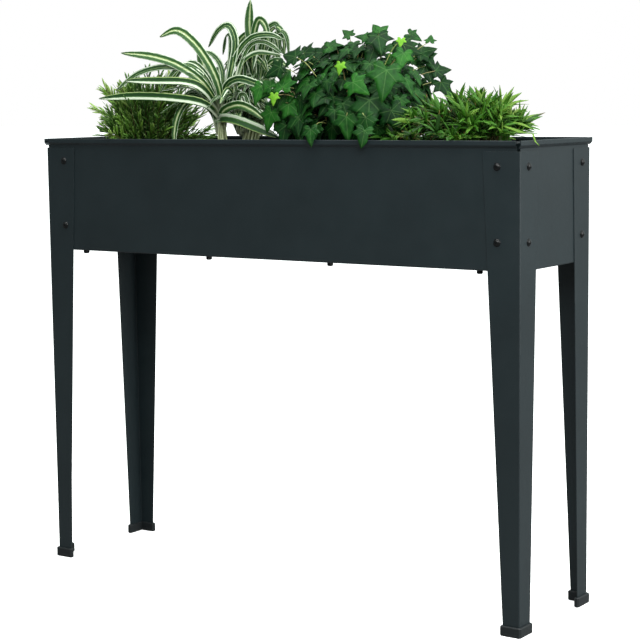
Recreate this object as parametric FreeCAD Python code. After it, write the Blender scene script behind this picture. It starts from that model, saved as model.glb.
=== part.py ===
"""Raised planter on four legs, folded from sheet steel, with four potted plants standing in it.

Millimetres, +Z up.  The origin is on the floor, midway between the legs.  X runs along the
trough and the front faces -Y.  Every piece goes to its own file in parts/.
"""
import FreeCAD, Part
import math
import os
from FreeCAD import Vector

# ---- overall ---------------------------------------------------------------
LENGTH = 1000.0  # along X, over the outside of the legs
WIDTH = 246.0  # along Y, over the outside of the legs
HEIGHT = 800.0  # floor to the top of the rim
TROUGH_DEPTH = 207.0  # underside of the trough to the top of the rim

# ---- sheet steel -----------------------------------------------------------
PANEL_SHEET = 1.0
LEG_SHEET = 1.5
PANEL_BEND = 1.0  # inside radius of a fold in the panels
LEG_BEND = 0.5  # inside radius of the fold down a leg
EDGE_RADIUS = 3.0  # rounded free corners of the legs

# ---- rim of the panels: a flare, an upright lip and a closed hem -----------
FLARE_OUT = 4.6  # how far the lip stands out from the panel
LIP_HEIGHT = 7.4  # upright lip above the flare
HEM_DEPTH = 5.0  # fold of the sheet back down inside the lip
HEM_GAP = 0.3  # air left inside the hem
NECK = 5.0  # bare panel between the flare and the top of a leg
RIM_SETBACK = 5.0  # the long rims stop this far short of the panel's ends
PANEL_CORNER_GAP = 0.8  # the short panels stop this far short of the long ones; their rims run on

# ---- bottom of the trough --------------------------------------------------
FLANGE_WIDTH = 22.0  # inward flange under each panel
FLANGE_GAP = 0.5  # between neighbouring flanges at a corner
PLATE_GAP = 0.3  # between the base plate and the folds of the panels
PLATE_CORNER = 4.0
DRAIN_HOLE = 9.0
DRAIN_COLUMNS = 3
DRAIN_ROWS = 2
DRAIN_FROM_END = 180.0  # from the end of the trough to the first column
DRAIN_FROM_SIDE = 63.0  # and from its side to the first row

# ---- legs ------------------------------------------------------------------
FRONT_FLANGE_TOP = 68.0  # width of the flange on the long side
FRONT_FLANGE_FOOT = 30.0
END_FLANGE_TOP = 60.0  # width of the flange on the short side
END_FLANGE_FOOT = 36.0

# ---- foot caps -------------------------------------------------------------
CAP_HEIGHT = 17.0
CAP_FLOOR = 3.0  # plastic under the end of the leg
CAP_WALL = 4.0
CAP_GAP = 0.1  # between the leg and its slot
CAP_CORNER = 2.6  # flat across each outside corner, measured along the sides
CAP_CHAMFER = 1.4  # along the level edges

# ---- bolts: domed heads on the legs, six-sided ones on the base plate -------
BOLT_SQUARE = 6.0  # side of the square neck that keeps the bolt from turning
BOLT_HOLE_GAP = 0.4  # the square holes are this much wider than the neck
BOLT_HEAD = 13.0
BOLT_HEAD_HEIGHT = 4.0
BASE_HEAD_HEIGHT = 4.0  # of the six-sided heads on the base plate
NUT_SIDES = 6
NUT_ACROSS_FLATS = 10.0
NUT_HEIGHT = 5.0
BOLT_END = 1.5  # of the bolt past its nut
BOLT_END_ACROSS = 6.0
UPPER_BOLT_BELOW_RIM = 41.0
LOWER_BOLT_ABOVE_BOTTOM = 46.0
FRONT_BOLT_INSET = 41.5  # from the corner of the leg, along the long side
END_BOLT_INSET = 28.5  # from the corner of the leg, along the short side
BASE_BOLTS_FROM_MIDDLE = (130.0, 420.0)  # along each long side, to the left and to the right
BASE_BOLT_INSET = 12.0  # from the face of the long panel

# ---- square nursery pots ---------------------------------------------------
POT_TOP = 150.0
POT_FOOT = 112.0
POT_HEIGHT = 140.0
POT_WALL = 1.6
POT_CORNER = 14.0  # flat across each corner, measured along the sides
POT_RIM_HEIGHT = 12.0
POT_RIM_OUT = 2.0
POT_FOOT_RECESS = 3.0  # the middle of the pot's floor stands this far up
POT_FOOT_EDGE = 8.0  # width of the edge that the pot stands on
POT_DRAIN_SLOT = 6.0
POT_DRAIN_SLOT_LENGTH = 22.0
POT_DRAIN_SLOT_INSET = 14.0  # from the outside of the pot's foot
POT_STANDING_GAP = 0.3
POT_FROM_END = 140.0  # from the ends of the trough to the middle of the first and last pots
COMPOST_BELOW_RIM = 10.0
COMPOST_GAP = 0.3
COMPOST_CROWN = 4.0  # the compost is heaped this much in the middle
COMPOST_FLAT = 40.0  # width of the level top of the heap
COMPOST_FLAT_CORNER = 10.0
FOLIAGE_GAP = 0.3  # between the compost and the lowest leaves
FOLIAGE_SIDES = 12

# The plants from left to right: how far each pot is shifted towards +X from its place in an even
# row, the radius of its stems at the compost, and the outline of its foliage from the lowest level
# to the highest.  Each level is (height above the rim, reach to the left of the pot's axis, reach
# to the right, reach to the front and the back).  A negative reach stops short of the axis.  The
# widest reaches of two neighbours add up to less than the way between their pots, so that either
# can be lifted out past the other.
PLANTS = {
    "needle_bush": dict(
        shift=-2.0,
        stem=24.0,
        levels=(
            (-30.0, 55.0, 65.0, 55.0),
            (0.0, 92.0, 90.0, 88.0),
            (30.0, 128.0, 104.0, 108.0),
            (60.0, 112.0, 92.0, 95.0),
            (90.0, 90.0, 72.0, 74.0),
            (115.0, 58.0, 50.0, 35.0),
            (132.0, 12.0, 26.0, 10.0),
        ),
    ),
    "spider_plant": dict(
        shift=-26.0,
        stem=22.0,
        levels=(
            (0.0, 32.0, 44.0, 24.0),
            (50.0, 42.0, 52.0, 28.0),
            (80.0, 90.0, 70.0, 38.0),
            (100.0, 110.0, 84.0, 42.0),
            (125.0, 104.0, 80.0, 36.0),
            (150.0, 80.0, 68.0, 28.0),
            (180.0, 58.0, 56.0, 22.0),
            (205.0, 30.0, 46.0, 16.0),
            (225.0, 4.0, 32.0, 8.0),
            (244.0, -10.0, 22.0, 3.0),
        ),
    ),
    "ivy": dict(
        shift=-26.0,
        stem=30.0,
        levels=(
            (-30.0, 60.0, 66.0, 60.0),
            (0.0, 104.0, 98.0, 92.0),
            (30.0, 120.0, 110.0, 103.0),
            (60.0, 120.0, 140.0, 102.0),
            (90.0, 112.0, 150.0, 92.0),
            (120.0, 98.0, 144.0, 78.0),
            (150.0, 78.0, 130.0, 42.0),
            (175.0, 26.0, 100.0, 18.0),
            (190.0, 2.0, 76.0, 6.0),
        ),
    ),
    "bamboo_bush": dict(
        shift=-19.0,
        stem=24.0,
        levels=(
            (-30.0, 68.0, 66.0, 66.0),
            (0.0, 92.0, 112.0, 96.0),
            (12.0, 94.0, 130.0, 114.0),
            (30.0, 92.0, 124.0, 110.0),
            (60.0, 66.0, 88.0, 82.0),
            (84.0, 30.0, 26.0, 30.0),
            (95.0, 10.0, 4.0, 6.0),
        ),
    ),
}

# ---- for the modelling itself ----------------------------------------------
CUT_PAST = 1.0  # cutting shapes reach this far past the piece that they cut
SAME = 1e-3  # lengths this close are taken as equal

# ---- worked out from the sizes above ---------------------------------------
BOTTOM = HEIGHT - TROUGH_DEPTH  # underside of the trough
FLARE_START = HEIGHT - LIP_HEIGHT - FLARE_OUT  # where the panels turn outward
LEG_TOP = FLARE_START - NECK
PANEL_X = LENGTH / 2 - LEG_SHEET  # outer face of a short panel
PANEL_Y = WIDTH / 2 - LEG_SHEET  # outer face of a long panel
INSIDE_X = PANEL_X - PANEL_SHEET  # inner faces of the trough
INSIDE_Y = PANEL_Y - PANEL_SHEET
LONG_PANEL_END = PANEL_X - LEG_BEND  # the long panels stop clear of the fold in the legs
PLATE_FLOOR = BOTTOM + PANEL_SHEET  # underside of the base plate
PLATE_TOP = PLATE_FLOOR + PANEL_SHEET
BOLT_HOLE = BOLT_SQUARE + BOLT_HOLE_GAP
BOLT_LEVELS = (HEIGHT - UPPER_BOLT_BELOW_RIM, BOTTOM + LOWER_BOLT_ABOVE_BOTTOM)
PANEL_GRIP = LEG_SHEET + PANEL_SHEET  # sheet held by a bolt through a leg
BASE_GRIP = 2 * PANEL_SHEET  # sheet held by a bolt through the base plate
POT_Z = PLATE_TOP + POT_STANDING_GAP
COMPOST_TOP = POT_Z + POT_HEIGHT - COMPOST_BELOW_RIM

CORNERS = {
    "front_left": (-1, -1),
    "front_right": (1, -1),
    "back_left": (-1, 1),
    "back_right": (1, 1),
}
UP = Vector(0, 0, 1)


# ---- helpers ---------------------------------------------------------------
def bent_sheet_section(points, radius, sheet):
    """A flat section of folded sheet in the YZ plane.  points are the corners of the middle of
    the sheet as (y, z), and every fold has the same radius there."""
    corners = [Vector(0, y, z) for y, z in points]
    near, far = [], []
    tangent = corners[0]
    for before, here, after in zip(corners, corners[1:], corners[2:]):
        back = (before - here).normalize()
        ahead = (after - here).normalize()
        half_turn = (math.pi - back.getAngle(ahead)) / 2
        reach = radius * math.tan(half_turn)
        begin = here + back * reach
        end = here + ahead * reach
        centre = here + (back + ahead).normalize() * (radius / math.cos(half_turn))
        middle = centre + (here - centre).normalize() * radius
        for side, edges in ((1, near), (-1, far)):
            add_straight(edges, tangent, begin, side * sheet / 2)
            edges.append(offset_arc(begin, middle, end, centre, -back, side * sheet / 2))
        tangent = end
    for side, edges in ((1, near), (-1, far)):
        add_straight(edges, tangent, corners[-1], side * sheet / 2)
    near_ends = (near[0].Vertexes[0].Point, near[-1].Vertexes[-1].Point)
    far_ends = (far[0].Vertexes[0].Point, far[-1].Vertexes[-1].Point)
    ends = [Part.makeLine(a, b) for a, b in zip(near_ends, far_ends)]
    return Part.Face(Part.Wire(Part.__sortEdges__(near + far + ends)))


def left_of(direction):
    """The unit vector to the left of a direction in the YZ plane."""
    return Vector(0, -direction.z, direction.y).normalize()


def add_straight(edges, start, end, offset):
    """One straight run of an offset outline, if it has any length."""
    if start.distanceToPoint(end) > SAME:
        shift = left_of(end - start) * offset
        edges.append(Part.makeLine(start + shift, end + shift))


def offset_arc(begin, middle, end, centre, heading, offset):
    """The arc of a fold, moved sideways from the middle of the sheet to one of its faces."""
    radius = (begin - centre).Length
    outward = left_of(heading).dot(begin - centre) > 0
    scale = (radius + (offset if outward else -offset)) / radius
    at = [centre + (point - centre) * scale for point in (begin, middle, end)]
    return Part.Arc(*at).toShape()


def mirrored(shape, side_x, side_y):
    """A piece drawn at the front-left corner, moved to another corner."""
    if side_x > 0:
        shape = shape.mirror(Vector(0, 0, 0), Vector(1, 0, 0))
    if side_y > 0:
        shape = shape.mirror(Vector(0, 0, 0), Vector(0, 1, 0))
    return shape


def box(low, high):
    return Part.makeBox(high[0] - low[0], high[1] - low[1], high[2] - low[2], Vector(*low))


def drain_hole(x, y):
    """A cylinder for drilling up through the base plate."""
    depth = PANEL_SHEET + 2 * CUT_PAST
    return Part.makeCylinder(DRAIN_HOLE / 2, depth, Vector(x, y, PLATE_FLOOR - CUT_PAST))


def bolt_hole(point, direction, sheet):
    """A square hole for a bolt's neck, as a block for cutting.  The point is on a face of the
    sheet, and the block goes through whichever way the sheet lies."""
    half = [sheet + CUT_PAST if part else BOLT_HOLE / 2 for part in direction]
    low = [c - h for c, h in zip(point, half)]
    high = [c + h for c, h in zip(point, half)]
    return box(low, high)


def lathe(profile):
    """A solid turned about the Z axis from a closed wire in the XZ plane."""
    return Part.Face(profile).revolve(Vector(0, 0, 0), UP, 360)


def dome_arc(edge, crown):
    """The arc of a sphere centred on the Z axis, from a point in the XZ plane to its crown."""
    height = crown.z - edge.z
    radius = (edge.x**2 + height**2) / (2 * height)
    half_angle = math.asin(edge.x / radius) / 2
    middle_x = radius * math.sin(half_angle)
    middle_z = crown.z - radius * (1 - math.cos(half_angle))
    return Part.Arc(edge, Vector(middle_x, 0, middle_z), crown).toShape()


def evenly_spaced(count, half_span):
    """Places along an axis, the first at -half_span and the last at half_span."""
    return [half_span * (2 * i / (count - 1) - 1) for i in range(count)]


def closed(corners):
    """A closed wire of straight runs."""
    return Part.makePolygon(corners + corners[:1])


def regular(sides, radius, z):
    """The corners of a level regular polygon round the Z axis."""
    return oval(sides, radius, radius, radius, z)


def oval(sides, left, right, depth, z):
    """The corners of a level oval that reaches left and right of the Z axis, and depth to the
    front and the back of it."""
    turn = 2 * math.pi / sides
    middle, half = (right - left) / 2, (right + left) / 2
    return [
        Vector(middle + half * math.cos(turn * i), depth * math.sin(turn * i), z)
        for i in range(sides)
    ]


def stacked(rings, creased=False):
    """A solid with flat sides through level outlines, given from the lowest to the highest.  Each
    outline has its corners in the same order and its sides parallel to those of the next.  Where
    they aren't parallel, each side is creased along its diagonal."""
    faces = [Part.Face(closed(rings[0])), Part.Face(closed(rings[-1]))]
    for low, high in zip(rings, rings[1:]):
        for i in range(len(low)):
            side = [low[i - 1], low[i], high[i], high[i - 1]]
            halves = [side[:3], [side[0], *side[2:]]]
            faces += [Part.Face(closed(flat)) for flat in (halves if creased else [side])]
    solid = Part.makeSolid(Part.makeShell(faces))
    if solid.Volume < 0:
        solid.reverse()
    return solid


# ---- panels ----------------------------------------------------------------
def panel_section(outer_face):
    """The folded section that all four panels share, with its outer face at -outer_face:
    an inward flange, the wall, the flare, the lip and its hem."""
    half = PANEL_SHEET / 2
    wall = -outer_face + half
    lip = wall - FLARE_OUT
    hem = lip + PANEL_SHEET + HEM_GAP
    hem_radius = (PANEL_SHEET + HEM_GAP) / 2
    body = [
        (wall + FLANGE_WIDTH - half, BOTTOM + half),
        (wall, BOTTOM + half),
        (wall, FLARE_START),
        (lip, FLARE_START + FLARE_OUT),
        (lip, HEIGHT - LIP_HEIGHT / 2),
    ]
    fold = [
        (lip, HEIGHT - LIP_HEIGHT / 2),
        (lip, HEIGHT - half),
        (hem, HEIGHT - half),
        (hem, HEIGHT - half - HEM_DEPTH),
    ]
    lower = bent_sheet_section(body, PANEL_BEND + half, PANEL_SHEET)
    upper = bent_sheet_section(fold, hem_radius, PANEL_SHEET)
    return lower, upper


def folded_panel(outer_face, half_length, rim_half_length, flange_half_length):
    """A panel lying along X with its outer face towards -Y.  Its rim can be shorter than its wall,
    or run on past it."""
    lower, upper = panel_section(outer_face)
    pieces = []
    reach = max(half_length, rim_half_length)
    for section in (lower, upper):
        section.translate(Vector(-reach, 0, 0))
        pieces.append(section.extrude(Vector(2 * reach, 0, 0)))
    panel = pieces[0].fuse(pieces[1]).removeSplitter()
    inside = -outer_face + PANEL_SHEET + PANEL_BEND
    for side in (-1, 1):
        rim_end = side * rim_half_length
        wall_end = side * half_length
        flange_end = side * flange_half_length
        past_end = side * (reach + CUT_PAST)
        rim_low = (min(rim_end, past_end), -outer_face - 2 * FLARE_OUT, LEG_TOP)
        rim_high = (max(rim_end, past_end), inside, HEIGHT + CUT_PAST)
        wall_low = (min(wall_end, past_end), -outer_face - CUT_PAST, BOTTOM - CUT_PAST)
        wall_high = (max(wall_end, past_end), inside, FLARE_START)
        flange_low = (min(flange_end, past_end), inside - PANEL_BEND, BOTTOM - CUT_PAST)
        flange_high = (
            max(flange_end, past_end),
            -outer_face + FLANGE_WIDTH + CUT_PAST,
            BOTTOM + PANEL_SHEET + PANEL_BEND,
        )
        for waste in ((rim_low, rim_high), (wall_low, wall_high), (flange_low, flange_high)):
            panel = panel.cut(box(*waste))
    return panel


def long_panel():
    rim_end = LONG_PANEL_END - RIM_SETBACK
    panel = folded_panel(PANEL_Y, LONG_PANEL_END, rim_end, INSIDE_X - FLANGE_GAP)
    for side in (-1, 1):
        for level in BOLT_LEVELS:
            centre = (side * (LENGTH / 2 - FRONT_BOLT_INSET), -PANEL_Y, level)
            panel = panel.cut(bolt_hole(centre, (0, 1, 0), PANEL_SHEET))
    for (x, y, z), direction in base_bolt_places():
        if y < 0:
            panel = panel.cut(bolt_hole((x, y, BOTTOM), direction, PANEL_SHEET))
    return panel


def short_panel():
    """The right-hand panel is drawn along X like a long one and then turned to face +X.  Its rim
    runs on to the outside of the long rims."""
    flange_end = PANEL_Y - FLANGE_WIDTH - FLANGE_GAP
    wall_end = INSIDE_Y - PANEL_CORNER_GAP
    panel = folded_panel(PANEL_X, wall_end, PANEL_Y + FLARE_OUT, flange_end)
    for side in (-1, 1):
        for level in BOLT_LEVELS:
            centre = (side * (WIDTH / 2 - END_BOLT_INSET), -PANEL_X, level)
            panel = panel.cut(bolt_hole(centre, (0, 1, 0), PANEL_SHEET))
    panel.rotate(Vector(0, 0, 0), UP, 90)
    return panel


# ---- base plate ------------------------------------------------------------
def base_plate():
    """A flat plate that lies on the flanges of the panels, with drain holes in two rows."""
    half_x = INSIDE_X - PANEL_BEND - PLATE_GAP
    half_y = INSIDE_Y - PANEL_BEND - PLATE_GAP
    plate = box((-half_x, -half_y, PLATE_FLOOR), (half_x, half_y, PLATE_TOP))
    corners = [e for e in plate.Edges if e.BoundBox.ZLength > PANEL_SHEET / 2]
    plate = plate.makeFillet(PLATE_CORNER, corners)
    for (x, y, z), direction in base_bolt_places():
        plate = plate.cut(bolt_hole((x, y, PLATE_FLOOR), direction, PANEL_SHEET))
    for x in evenly_spaced(DRAIN_COLUMNS, LENGTH / 2 - DRAIN_FROM_END):
        for y in evenly_spaced(DRAIN_ROWS, WIDTH / 2 - DRAIN_FROM_SIDE):
            plate = plate.cut(drain_hole(x, y))
    return plate


# ---- legs and foot caps ----------------------------------------------------
def angle_face(front_flange, end_flange, z):
    """The L-shaped section of a leg at the front-left corner, folded down its outer edge."""
    x0, y0 = -LENGTH / 2, -WIDTH / 2
    outline = [
        Vector(x0, y0, z),
        Vector(x0 + front_flange, y0, z),
        Vector(x0 + front_flange, y0 + LEG_SHEET, z),
        Vector(x0 + LEG_SHEET, y0 + LEG_SHEET, z),
        Vector(x0 + LEG_SHEET, y0 + end_flange, z),
        Vector(x0, y0 + end_flange, z),
    ]
    return Part.Face(closed(outline))


def flange_width(at_foot, at_top, z):
    """The flanges widen evenly from the foot to the top of the leg."""
    return at_foot + (at_top - at_foot) * (z - CAP_FLOOR) / (LEG_TOP - CAP_FLOOR)


def leg():
    """Front-left leg: a tapered angle folded from one sheet, outside the trough's panels."""
    x0, y0 = -LENGTH / 2, -WIDTH / 2
    height = LEG_TOP - CAP_FLOOR
    angle = angle_face(FRONT_FLANGE_TOP, END_FLANGE_TOP, CAP_FLOOR).extrude(UP * height)
    fold_outside = nearest_upright(angle, x0, y0)
    angle = angle.makeFillet(LEG_BEND + LEG_SHEET, [fold_outside])
    fold_inside = nearest_upright(angle, x0 + LEG_SHEET, y0 + LEG_SHEET)
    angle = angle.makeFillet(LEG_BEND, [fold_inside])

    front_waste = [
        Vector(x0 + FRONT_FLANGE_FOOT, y0 - CUT_PAST, CAP_FLOOR),
        Vector(x0 + FRONT_FLANGE_TOP + CUT_PAST, y0 - CUT_PAST, CAP_FLOOR),
        Vector(x0 + FRONT_FLANGE_TOP + CUT_PAST, y0 - CUT_PAST, LEG_TOP),
        Vector(x0 + FRONT_FLANGE_TOP, y0 - CUT_PAST, LEG_TOP),
    ]
    end_waste = [
        Vector(x0 - CUT_PAST, y0 + END_FLANGE_FOOT, CAP_FLOOR),
        Vector(x0 - CUT_PAST, y0 + END_FLANGE_TOP + CUT_PAST, CAP_FLOOR),
        Vector(x0 - CUT_PAST, y0 + END_FLANGE_TOP + CUT_PAST, LEG_TOP),
        Vector(x0 - CUT_PAST, y0 + END_FLANGE_TOP, LEG_TOP),
    ]
    through = LEG_SHEET + 2 * CUT_PAST
    for waste, way in ((front_waste, Vector(0, through, 0)), (end_waste, Vector(through, 0, 0))):
        angle = angle.cut(Part.Face(closed(waste)).extrude(way))

    corners = [
        e
        for e in angle.Edges
        if e.BoundBox.ZMin > LEG_TOP - SAME
        and abs(e.Length - LEG_SHEET) < SAME
        and (e.BoundBox.XMin > x0 + FRONT_FLANGE_FOOT or e.BoundBox.YMin > y0 + END_FLANGE_FOOT)
    ]
    angle = angle.makeFillet(EDGE_RADIUS, corners)
    for level in BOLT_LEVELS:
        front = (x0 + FRONT_BOLT_INSET, y0, level)
        end = (x0, y0 + END_BOLT_INSET, level)
        angle = angle.cut(bolt_hole(front, (0, 1, 0), LEG_SHEET))
        angle = angle.cut(bolt_hole(end, (1, 0, 0), LEG_SHEET))
    return angle


def nearest_upright(shape, x, y):
    """The edge that stands the full height of a shape nearest to a point in plan."""
    full = shape.BoundBox.ZLength - SAME
    upright = [e for e in shape.Edges if e.BoundBox.ZLength > full]
    return min(upright, key=lambda e: math.hypot(e.CenterOfMass.x - x, e.CenterOfMass.y - y))


def foot_cap():
    """Front-left plastic cap: an L-shaped block with its edges taken off, and a slot for the leg."""
    front = flange_width(FRONT_FLANGE_FOOT, FRONT_FLANGE_TOP, CAP_HEIGHT)
    end = flange_width(END_FLANGE_FOOT, END_FLANGE_TOP, CAP_HEIGHT)
    section = angle_face(front, end, 0)
    block = section.makeOffset2D(CAP_WALL, 2).extrude(UP * CAP_HEIGHT)
    inner_corner = nearest_upright(block, -LENGTH / 2 + LEG_SHEET, -WIDTH / 2 + LEG_SHEET)
    upright = [e for e in block.Edges if e.BoundBox.ZLength > CAP_HEIGHT / 2]
    block = block.makeChamfer(CAP_CORNER, [e for e in upright if not e.isSame(inner_corner)])
    level_edges = [e for e in block.Edges if e.BoundBox.ZLength < SAME]
    block = block.makeChamfer(CAP_CHAMFER, level_edges)
    slot = section.makeOffset2D(CAP_GAP, 2).extrude(UP * CAP_HEIGHT)
    slot.translate(UP * CAP_FLOOR)
    return block.cut(slot)


# ---- bolts and nuts --------------------------------------------------------
def domed_head():
    """Round head, with its underside at z = 0."""
    centre = Vector(0, 0, 0)
    edge = Vector(BOLT_HEAD / 2, 0, 0)
    crown = Vector(0, 0, -BOLT_HEAD_HEIGHT)
    under = Part.makeLine(centre, edge)
    return lathe(Part.Wire([under, dome_arc(edge, crown), Part.makeLine(crown, centre)]))


def hexagon(across, z):
    return regular(NUT_SIDES, across / 2 / math.cos(math.pi / NUT_SIDES), z)


def hexagon_head():
    """Plain six-sided head, with its underside at z = 0."""
    return stacked([hexagon(NUT_ACROSS_FLATS, z) for z in (-BASE_HEAD_HEIGHT, 0)])


def bolt(head, grip):
    """A bolt standing on its head, with its nut.  The square neck goes through the sheets, the nut
    sits on the far side of them and the end of the bolt shows past the nut."""
    half = BOLT_SQUARE / 2
    neck = box((-half, -half, 0), (half, half, grip))
    nut = stacked([
        hexagon(NUT_ACROSS_FLATS, grip),
        hexagon(NUT_ACROSS_FLATS, grip + NUT_HEIGHT),
        hexagon(BOLT_END_ACROSS, grip + NUT_HEIGHT + BOLT_END),
    ])
    return head.fuse([neck, nut])


def placed(piece, point, direction):
    """A copy of a piece with its Z axis turned along the direction, at the point."""
    copy = piece.copy()
    turn = FreeCAD.Rotation(UP, Vector(*direction))
    copy.Placement = FreeCAD.Placement(Vector(*point), turn)
    return copy


def leg_bolt_places():
    """Where the bolts go through the legs, and the way that each one points."""
    places = []
    for side_x, side_y in CORNERS.values():
        for level in BOLT_LEVELS:
            front = (side_x * (LENGTH / 2 - FRONT_BOLT_INSET), side_y * WIDTH / 2, level)
            end = (side_x * LENGTH / 2, side_y * (WIDTH / 2 - END_BOLT_INSET), level)
            places.append((front, (0, -side_y, 0)))
            places.append((end, (-side_x, 0, 0)))
    return places


def base_bolt_places():
    """A row along each long side, dropped down through the base plate and the panel's flange."""
    y = PANEL_Y - BASE_BOLT_INSET
    return [
        ((side_x * x, side_y * y, PLATE_TOP), (0, 0, -1))
        for side_y in (-1, 1)
        for side_x in (-1, 1)
        for x in BASE_BOLTS_FROM_MIDDLE
    ]


# ---- pots and plants -------------------------------------------------------
def pot_outline(z, grow=0.0):
    """The corners of a pot's outline at a height above its foot: a square with flats across its
    corners.  It can be grown all round, or shrunk by a negative amount."""
    half = (POT_FOOT + (POT_TOP - POT_FOOT) * z / POT_HEIGHT) / 2
    side = half - POT_CORNER + grow * (math.sqrt(2) - 1)
    return cut_square(half + grow, side, z)


def cut_square(half, side, z):
    """The corners of a level square round the Z axis, with flats across its corners.  side is half
    the length that is left of each side."""
    corners = []
    x, y = Vector(half, -side, z), Vector(half, side, z)
    for quarter in range(4):
        corners += [x, y]
        x, y = Vector(-x.y, x.x, z), Vector(-y.y, y.x, z)
    return corners


def pot():
    """A tapered pot with a band round its rim, a foot edge and a drain slot by each side."""
    rim_base = POT_HEIGHT - POT_RIM_HEIGHT
    floor = POT_FOOT_RECESS + POT_WALL
    body = stacked([pot_outline(0), pot_outline(POT_HEIGHT)])
    band = stacked([pot_outline(rim_base, POT_RIM_OUT), pot_outline(POT_HEIGHT, POT_RIM_OUT)])
    inside = stacked([pot_outline(floor, -POT_WALL), pot_outline(POT_HEIGHT, -POT_WALL)])
    recess = Part.Face(closed(pot_outline(0, -POT_FOOT_EDGE))).extrude(UP * POT_FOOT_RECESS)
    body = body.fuse(band).cut(inside).cut(recess)
    slot_out = POT_FOOT / 2 - POT_DRAIN_SLOT_INSET
    for quarter in range(4):
        slot = box(
            (slot_out - POT_DRAIN_SLOT, -POT_DRAIN_SLOT_LENGTH / 2, 0),
            (slot_out, POT_DRAIN_SLOT_LENGTH / 2, floor + CUT_PAST),
        )
        slot.rotate(Vector(0, 0, 0), UP, 90 * quarter)
        body = body.cut(slot)
    body.translate(UP * POT_Z)
    return body.removeSplitter()


def compost():
    """Compost that fills a pot to a little below its rim, slightly heaped."""
    slack = -(POT_WALL + COMPOST_GAP)
    floor = POT_FOOT_RECESS + POT_WALL + COMPOST_GAP
    edge = POT_HEIGHT - COMPOST_BELOW_RIM - COMPOST_CROWN
    flat = COMPOST_FLAT / 2
    level_top = cut_square(flat, flat - COMPOST_FLAT_CORNER, edge + COMPOST_CROWN)
    mound = stacked([pot_outline(floor, slack), pot_outline(edge, slack), level_top])
    mound.translate(UP * POT_Z)
    return mound


def foliage(stem, levels):
    """The space that a plant's leaves fill: stems that open into a crown leaning its own way."""
    rings = [regular(FOLIAGE_SIDES, stem, COMPOST_TOP + FOLIAGE_GAP)]
    rings += [oval(FOLIAGE_SIDES, left, right, depth, HEIGHT + up) for up, left, right, depth in levels]
    return stacked(rings, creased=True)


# ---- write every piece -----------------------------------------------------
def build():
    leg_bolts = [placed(bolt(domed_head(), PANEL_GRIP), *at) for at in leg_bolt_places()]
    base_bolts = [placed(bolt(hexagon_head(), BASE_GRIP), *at) for at in base_bolt_places()]
    nodes = {
        "panel_front": long_panel(),
        "panel_back": mirrored(long_panel(), -1, 1),
        "panel_right": short_panel(),
        "panel_left": mirrored(short_panel(), 1, -1),
        "base_plate": base_plate(),
        "leg_bolts": Part.Compound(leg_bolts),
        "base_bolts": Part.Compound(base_bolts),
    }
    for corner, (side_x, side_y) in CORNERS.items():
        nodes["leg_" + corner] = mirrored(leg(), side_x, side_y)
        nodes["foot_cap_" + corner] = mirrored(foot_cap(), side_x, side_y)
    row = evenly_spaced(len(PLANTS), LENGTH / 2 - POT_FROM_END)
    for (plant, form), place in zip(PLANTS.items(), row):
        leaves = foliage(form["stem"], form["levels"])
        pieces = {"pot": pot(), "compost": compost(), "foliage": leaves}
        for name, piece in pieces.items():
            piece.translate(Vector(place + form["shift"], 0, 0))
            nodes[f"{plant}_{name}"] = piece
    return nodes


os.makedirs("parts", exist_ok=True)
for node, shape in build().items():
    shape.exportStep(f"parts/{node}.step")
    size = shape.BoundBox
    valid = "valid" if shape.isValid() else "NOT VALID"
    print(f"{node:24s} {len(shape.Solids):3d} solid(s), {shape.Volume / 1000:9.2f} cm3, {valid}")
    print(f"{'':24s} x {size.XMin:.2f} {size.XMax:.2f}  y {size.YMin:.2f} {size.YMax:.2f}"
          f"  z {size.ZMin:.2f} {size.ZMax:.2f}")
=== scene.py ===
# %% [markdown]
# # A raised planter on legs, with four potted plants
#
# The real object is a long trough of folded sheet steel on four tapered legs.  Four plants stand
# in it: a needle-leaved bush, a striped spider plant, an ivy and a bamboo-leaved bush.  The steel,
# the bolts, the foot caps and the pots come from CAD as a fixed frame, because they have real
# sizes.  This file gives them their finishes and grows the plants in the pots.  Everything is in
# metres, with the floor at z = 0, the trough along X and its front towards -Y.

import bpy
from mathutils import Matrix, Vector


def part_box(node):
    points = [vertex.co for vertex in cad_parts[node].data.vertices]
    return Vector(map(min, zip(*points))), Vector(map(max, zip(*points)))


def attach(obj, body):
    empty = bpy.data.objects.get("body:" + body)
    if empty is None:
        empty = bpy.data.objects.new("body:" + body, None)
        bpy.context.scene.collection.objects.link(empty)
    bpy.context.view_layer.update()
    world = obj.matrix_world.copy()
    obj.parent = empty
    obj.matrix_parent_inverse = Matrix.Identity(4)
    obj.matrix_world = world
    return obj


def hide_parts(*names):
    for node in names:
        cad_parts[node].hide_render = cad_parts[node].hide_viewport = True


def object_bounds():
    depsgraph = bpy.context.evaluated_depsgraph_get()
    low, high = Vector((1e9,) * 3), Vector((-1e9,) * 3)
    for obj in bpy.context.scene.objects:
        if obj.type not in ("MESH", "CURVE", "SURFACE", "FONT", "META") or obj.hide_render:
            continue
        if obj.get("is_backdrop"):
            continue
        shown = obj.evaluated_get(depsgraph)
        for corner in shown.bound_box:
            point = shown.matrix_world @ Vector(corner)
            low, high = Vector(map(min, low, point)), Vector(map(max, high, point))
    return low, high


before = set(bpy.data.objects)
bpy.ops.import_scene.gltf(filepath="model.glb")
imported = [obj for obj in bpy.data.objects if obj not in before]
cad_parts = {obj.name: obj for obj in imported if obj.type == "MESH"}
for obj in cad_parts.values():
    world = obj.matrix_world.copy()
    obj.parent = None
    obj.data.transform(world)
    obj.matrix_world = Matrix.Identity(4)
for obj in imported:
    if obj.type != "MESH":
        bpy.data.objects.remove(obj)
cad_low, cad_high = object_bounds()
print("CAD box", [round(v, 3) for v in cad_low], [round(v, 3) for v in cad_high])

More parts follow.
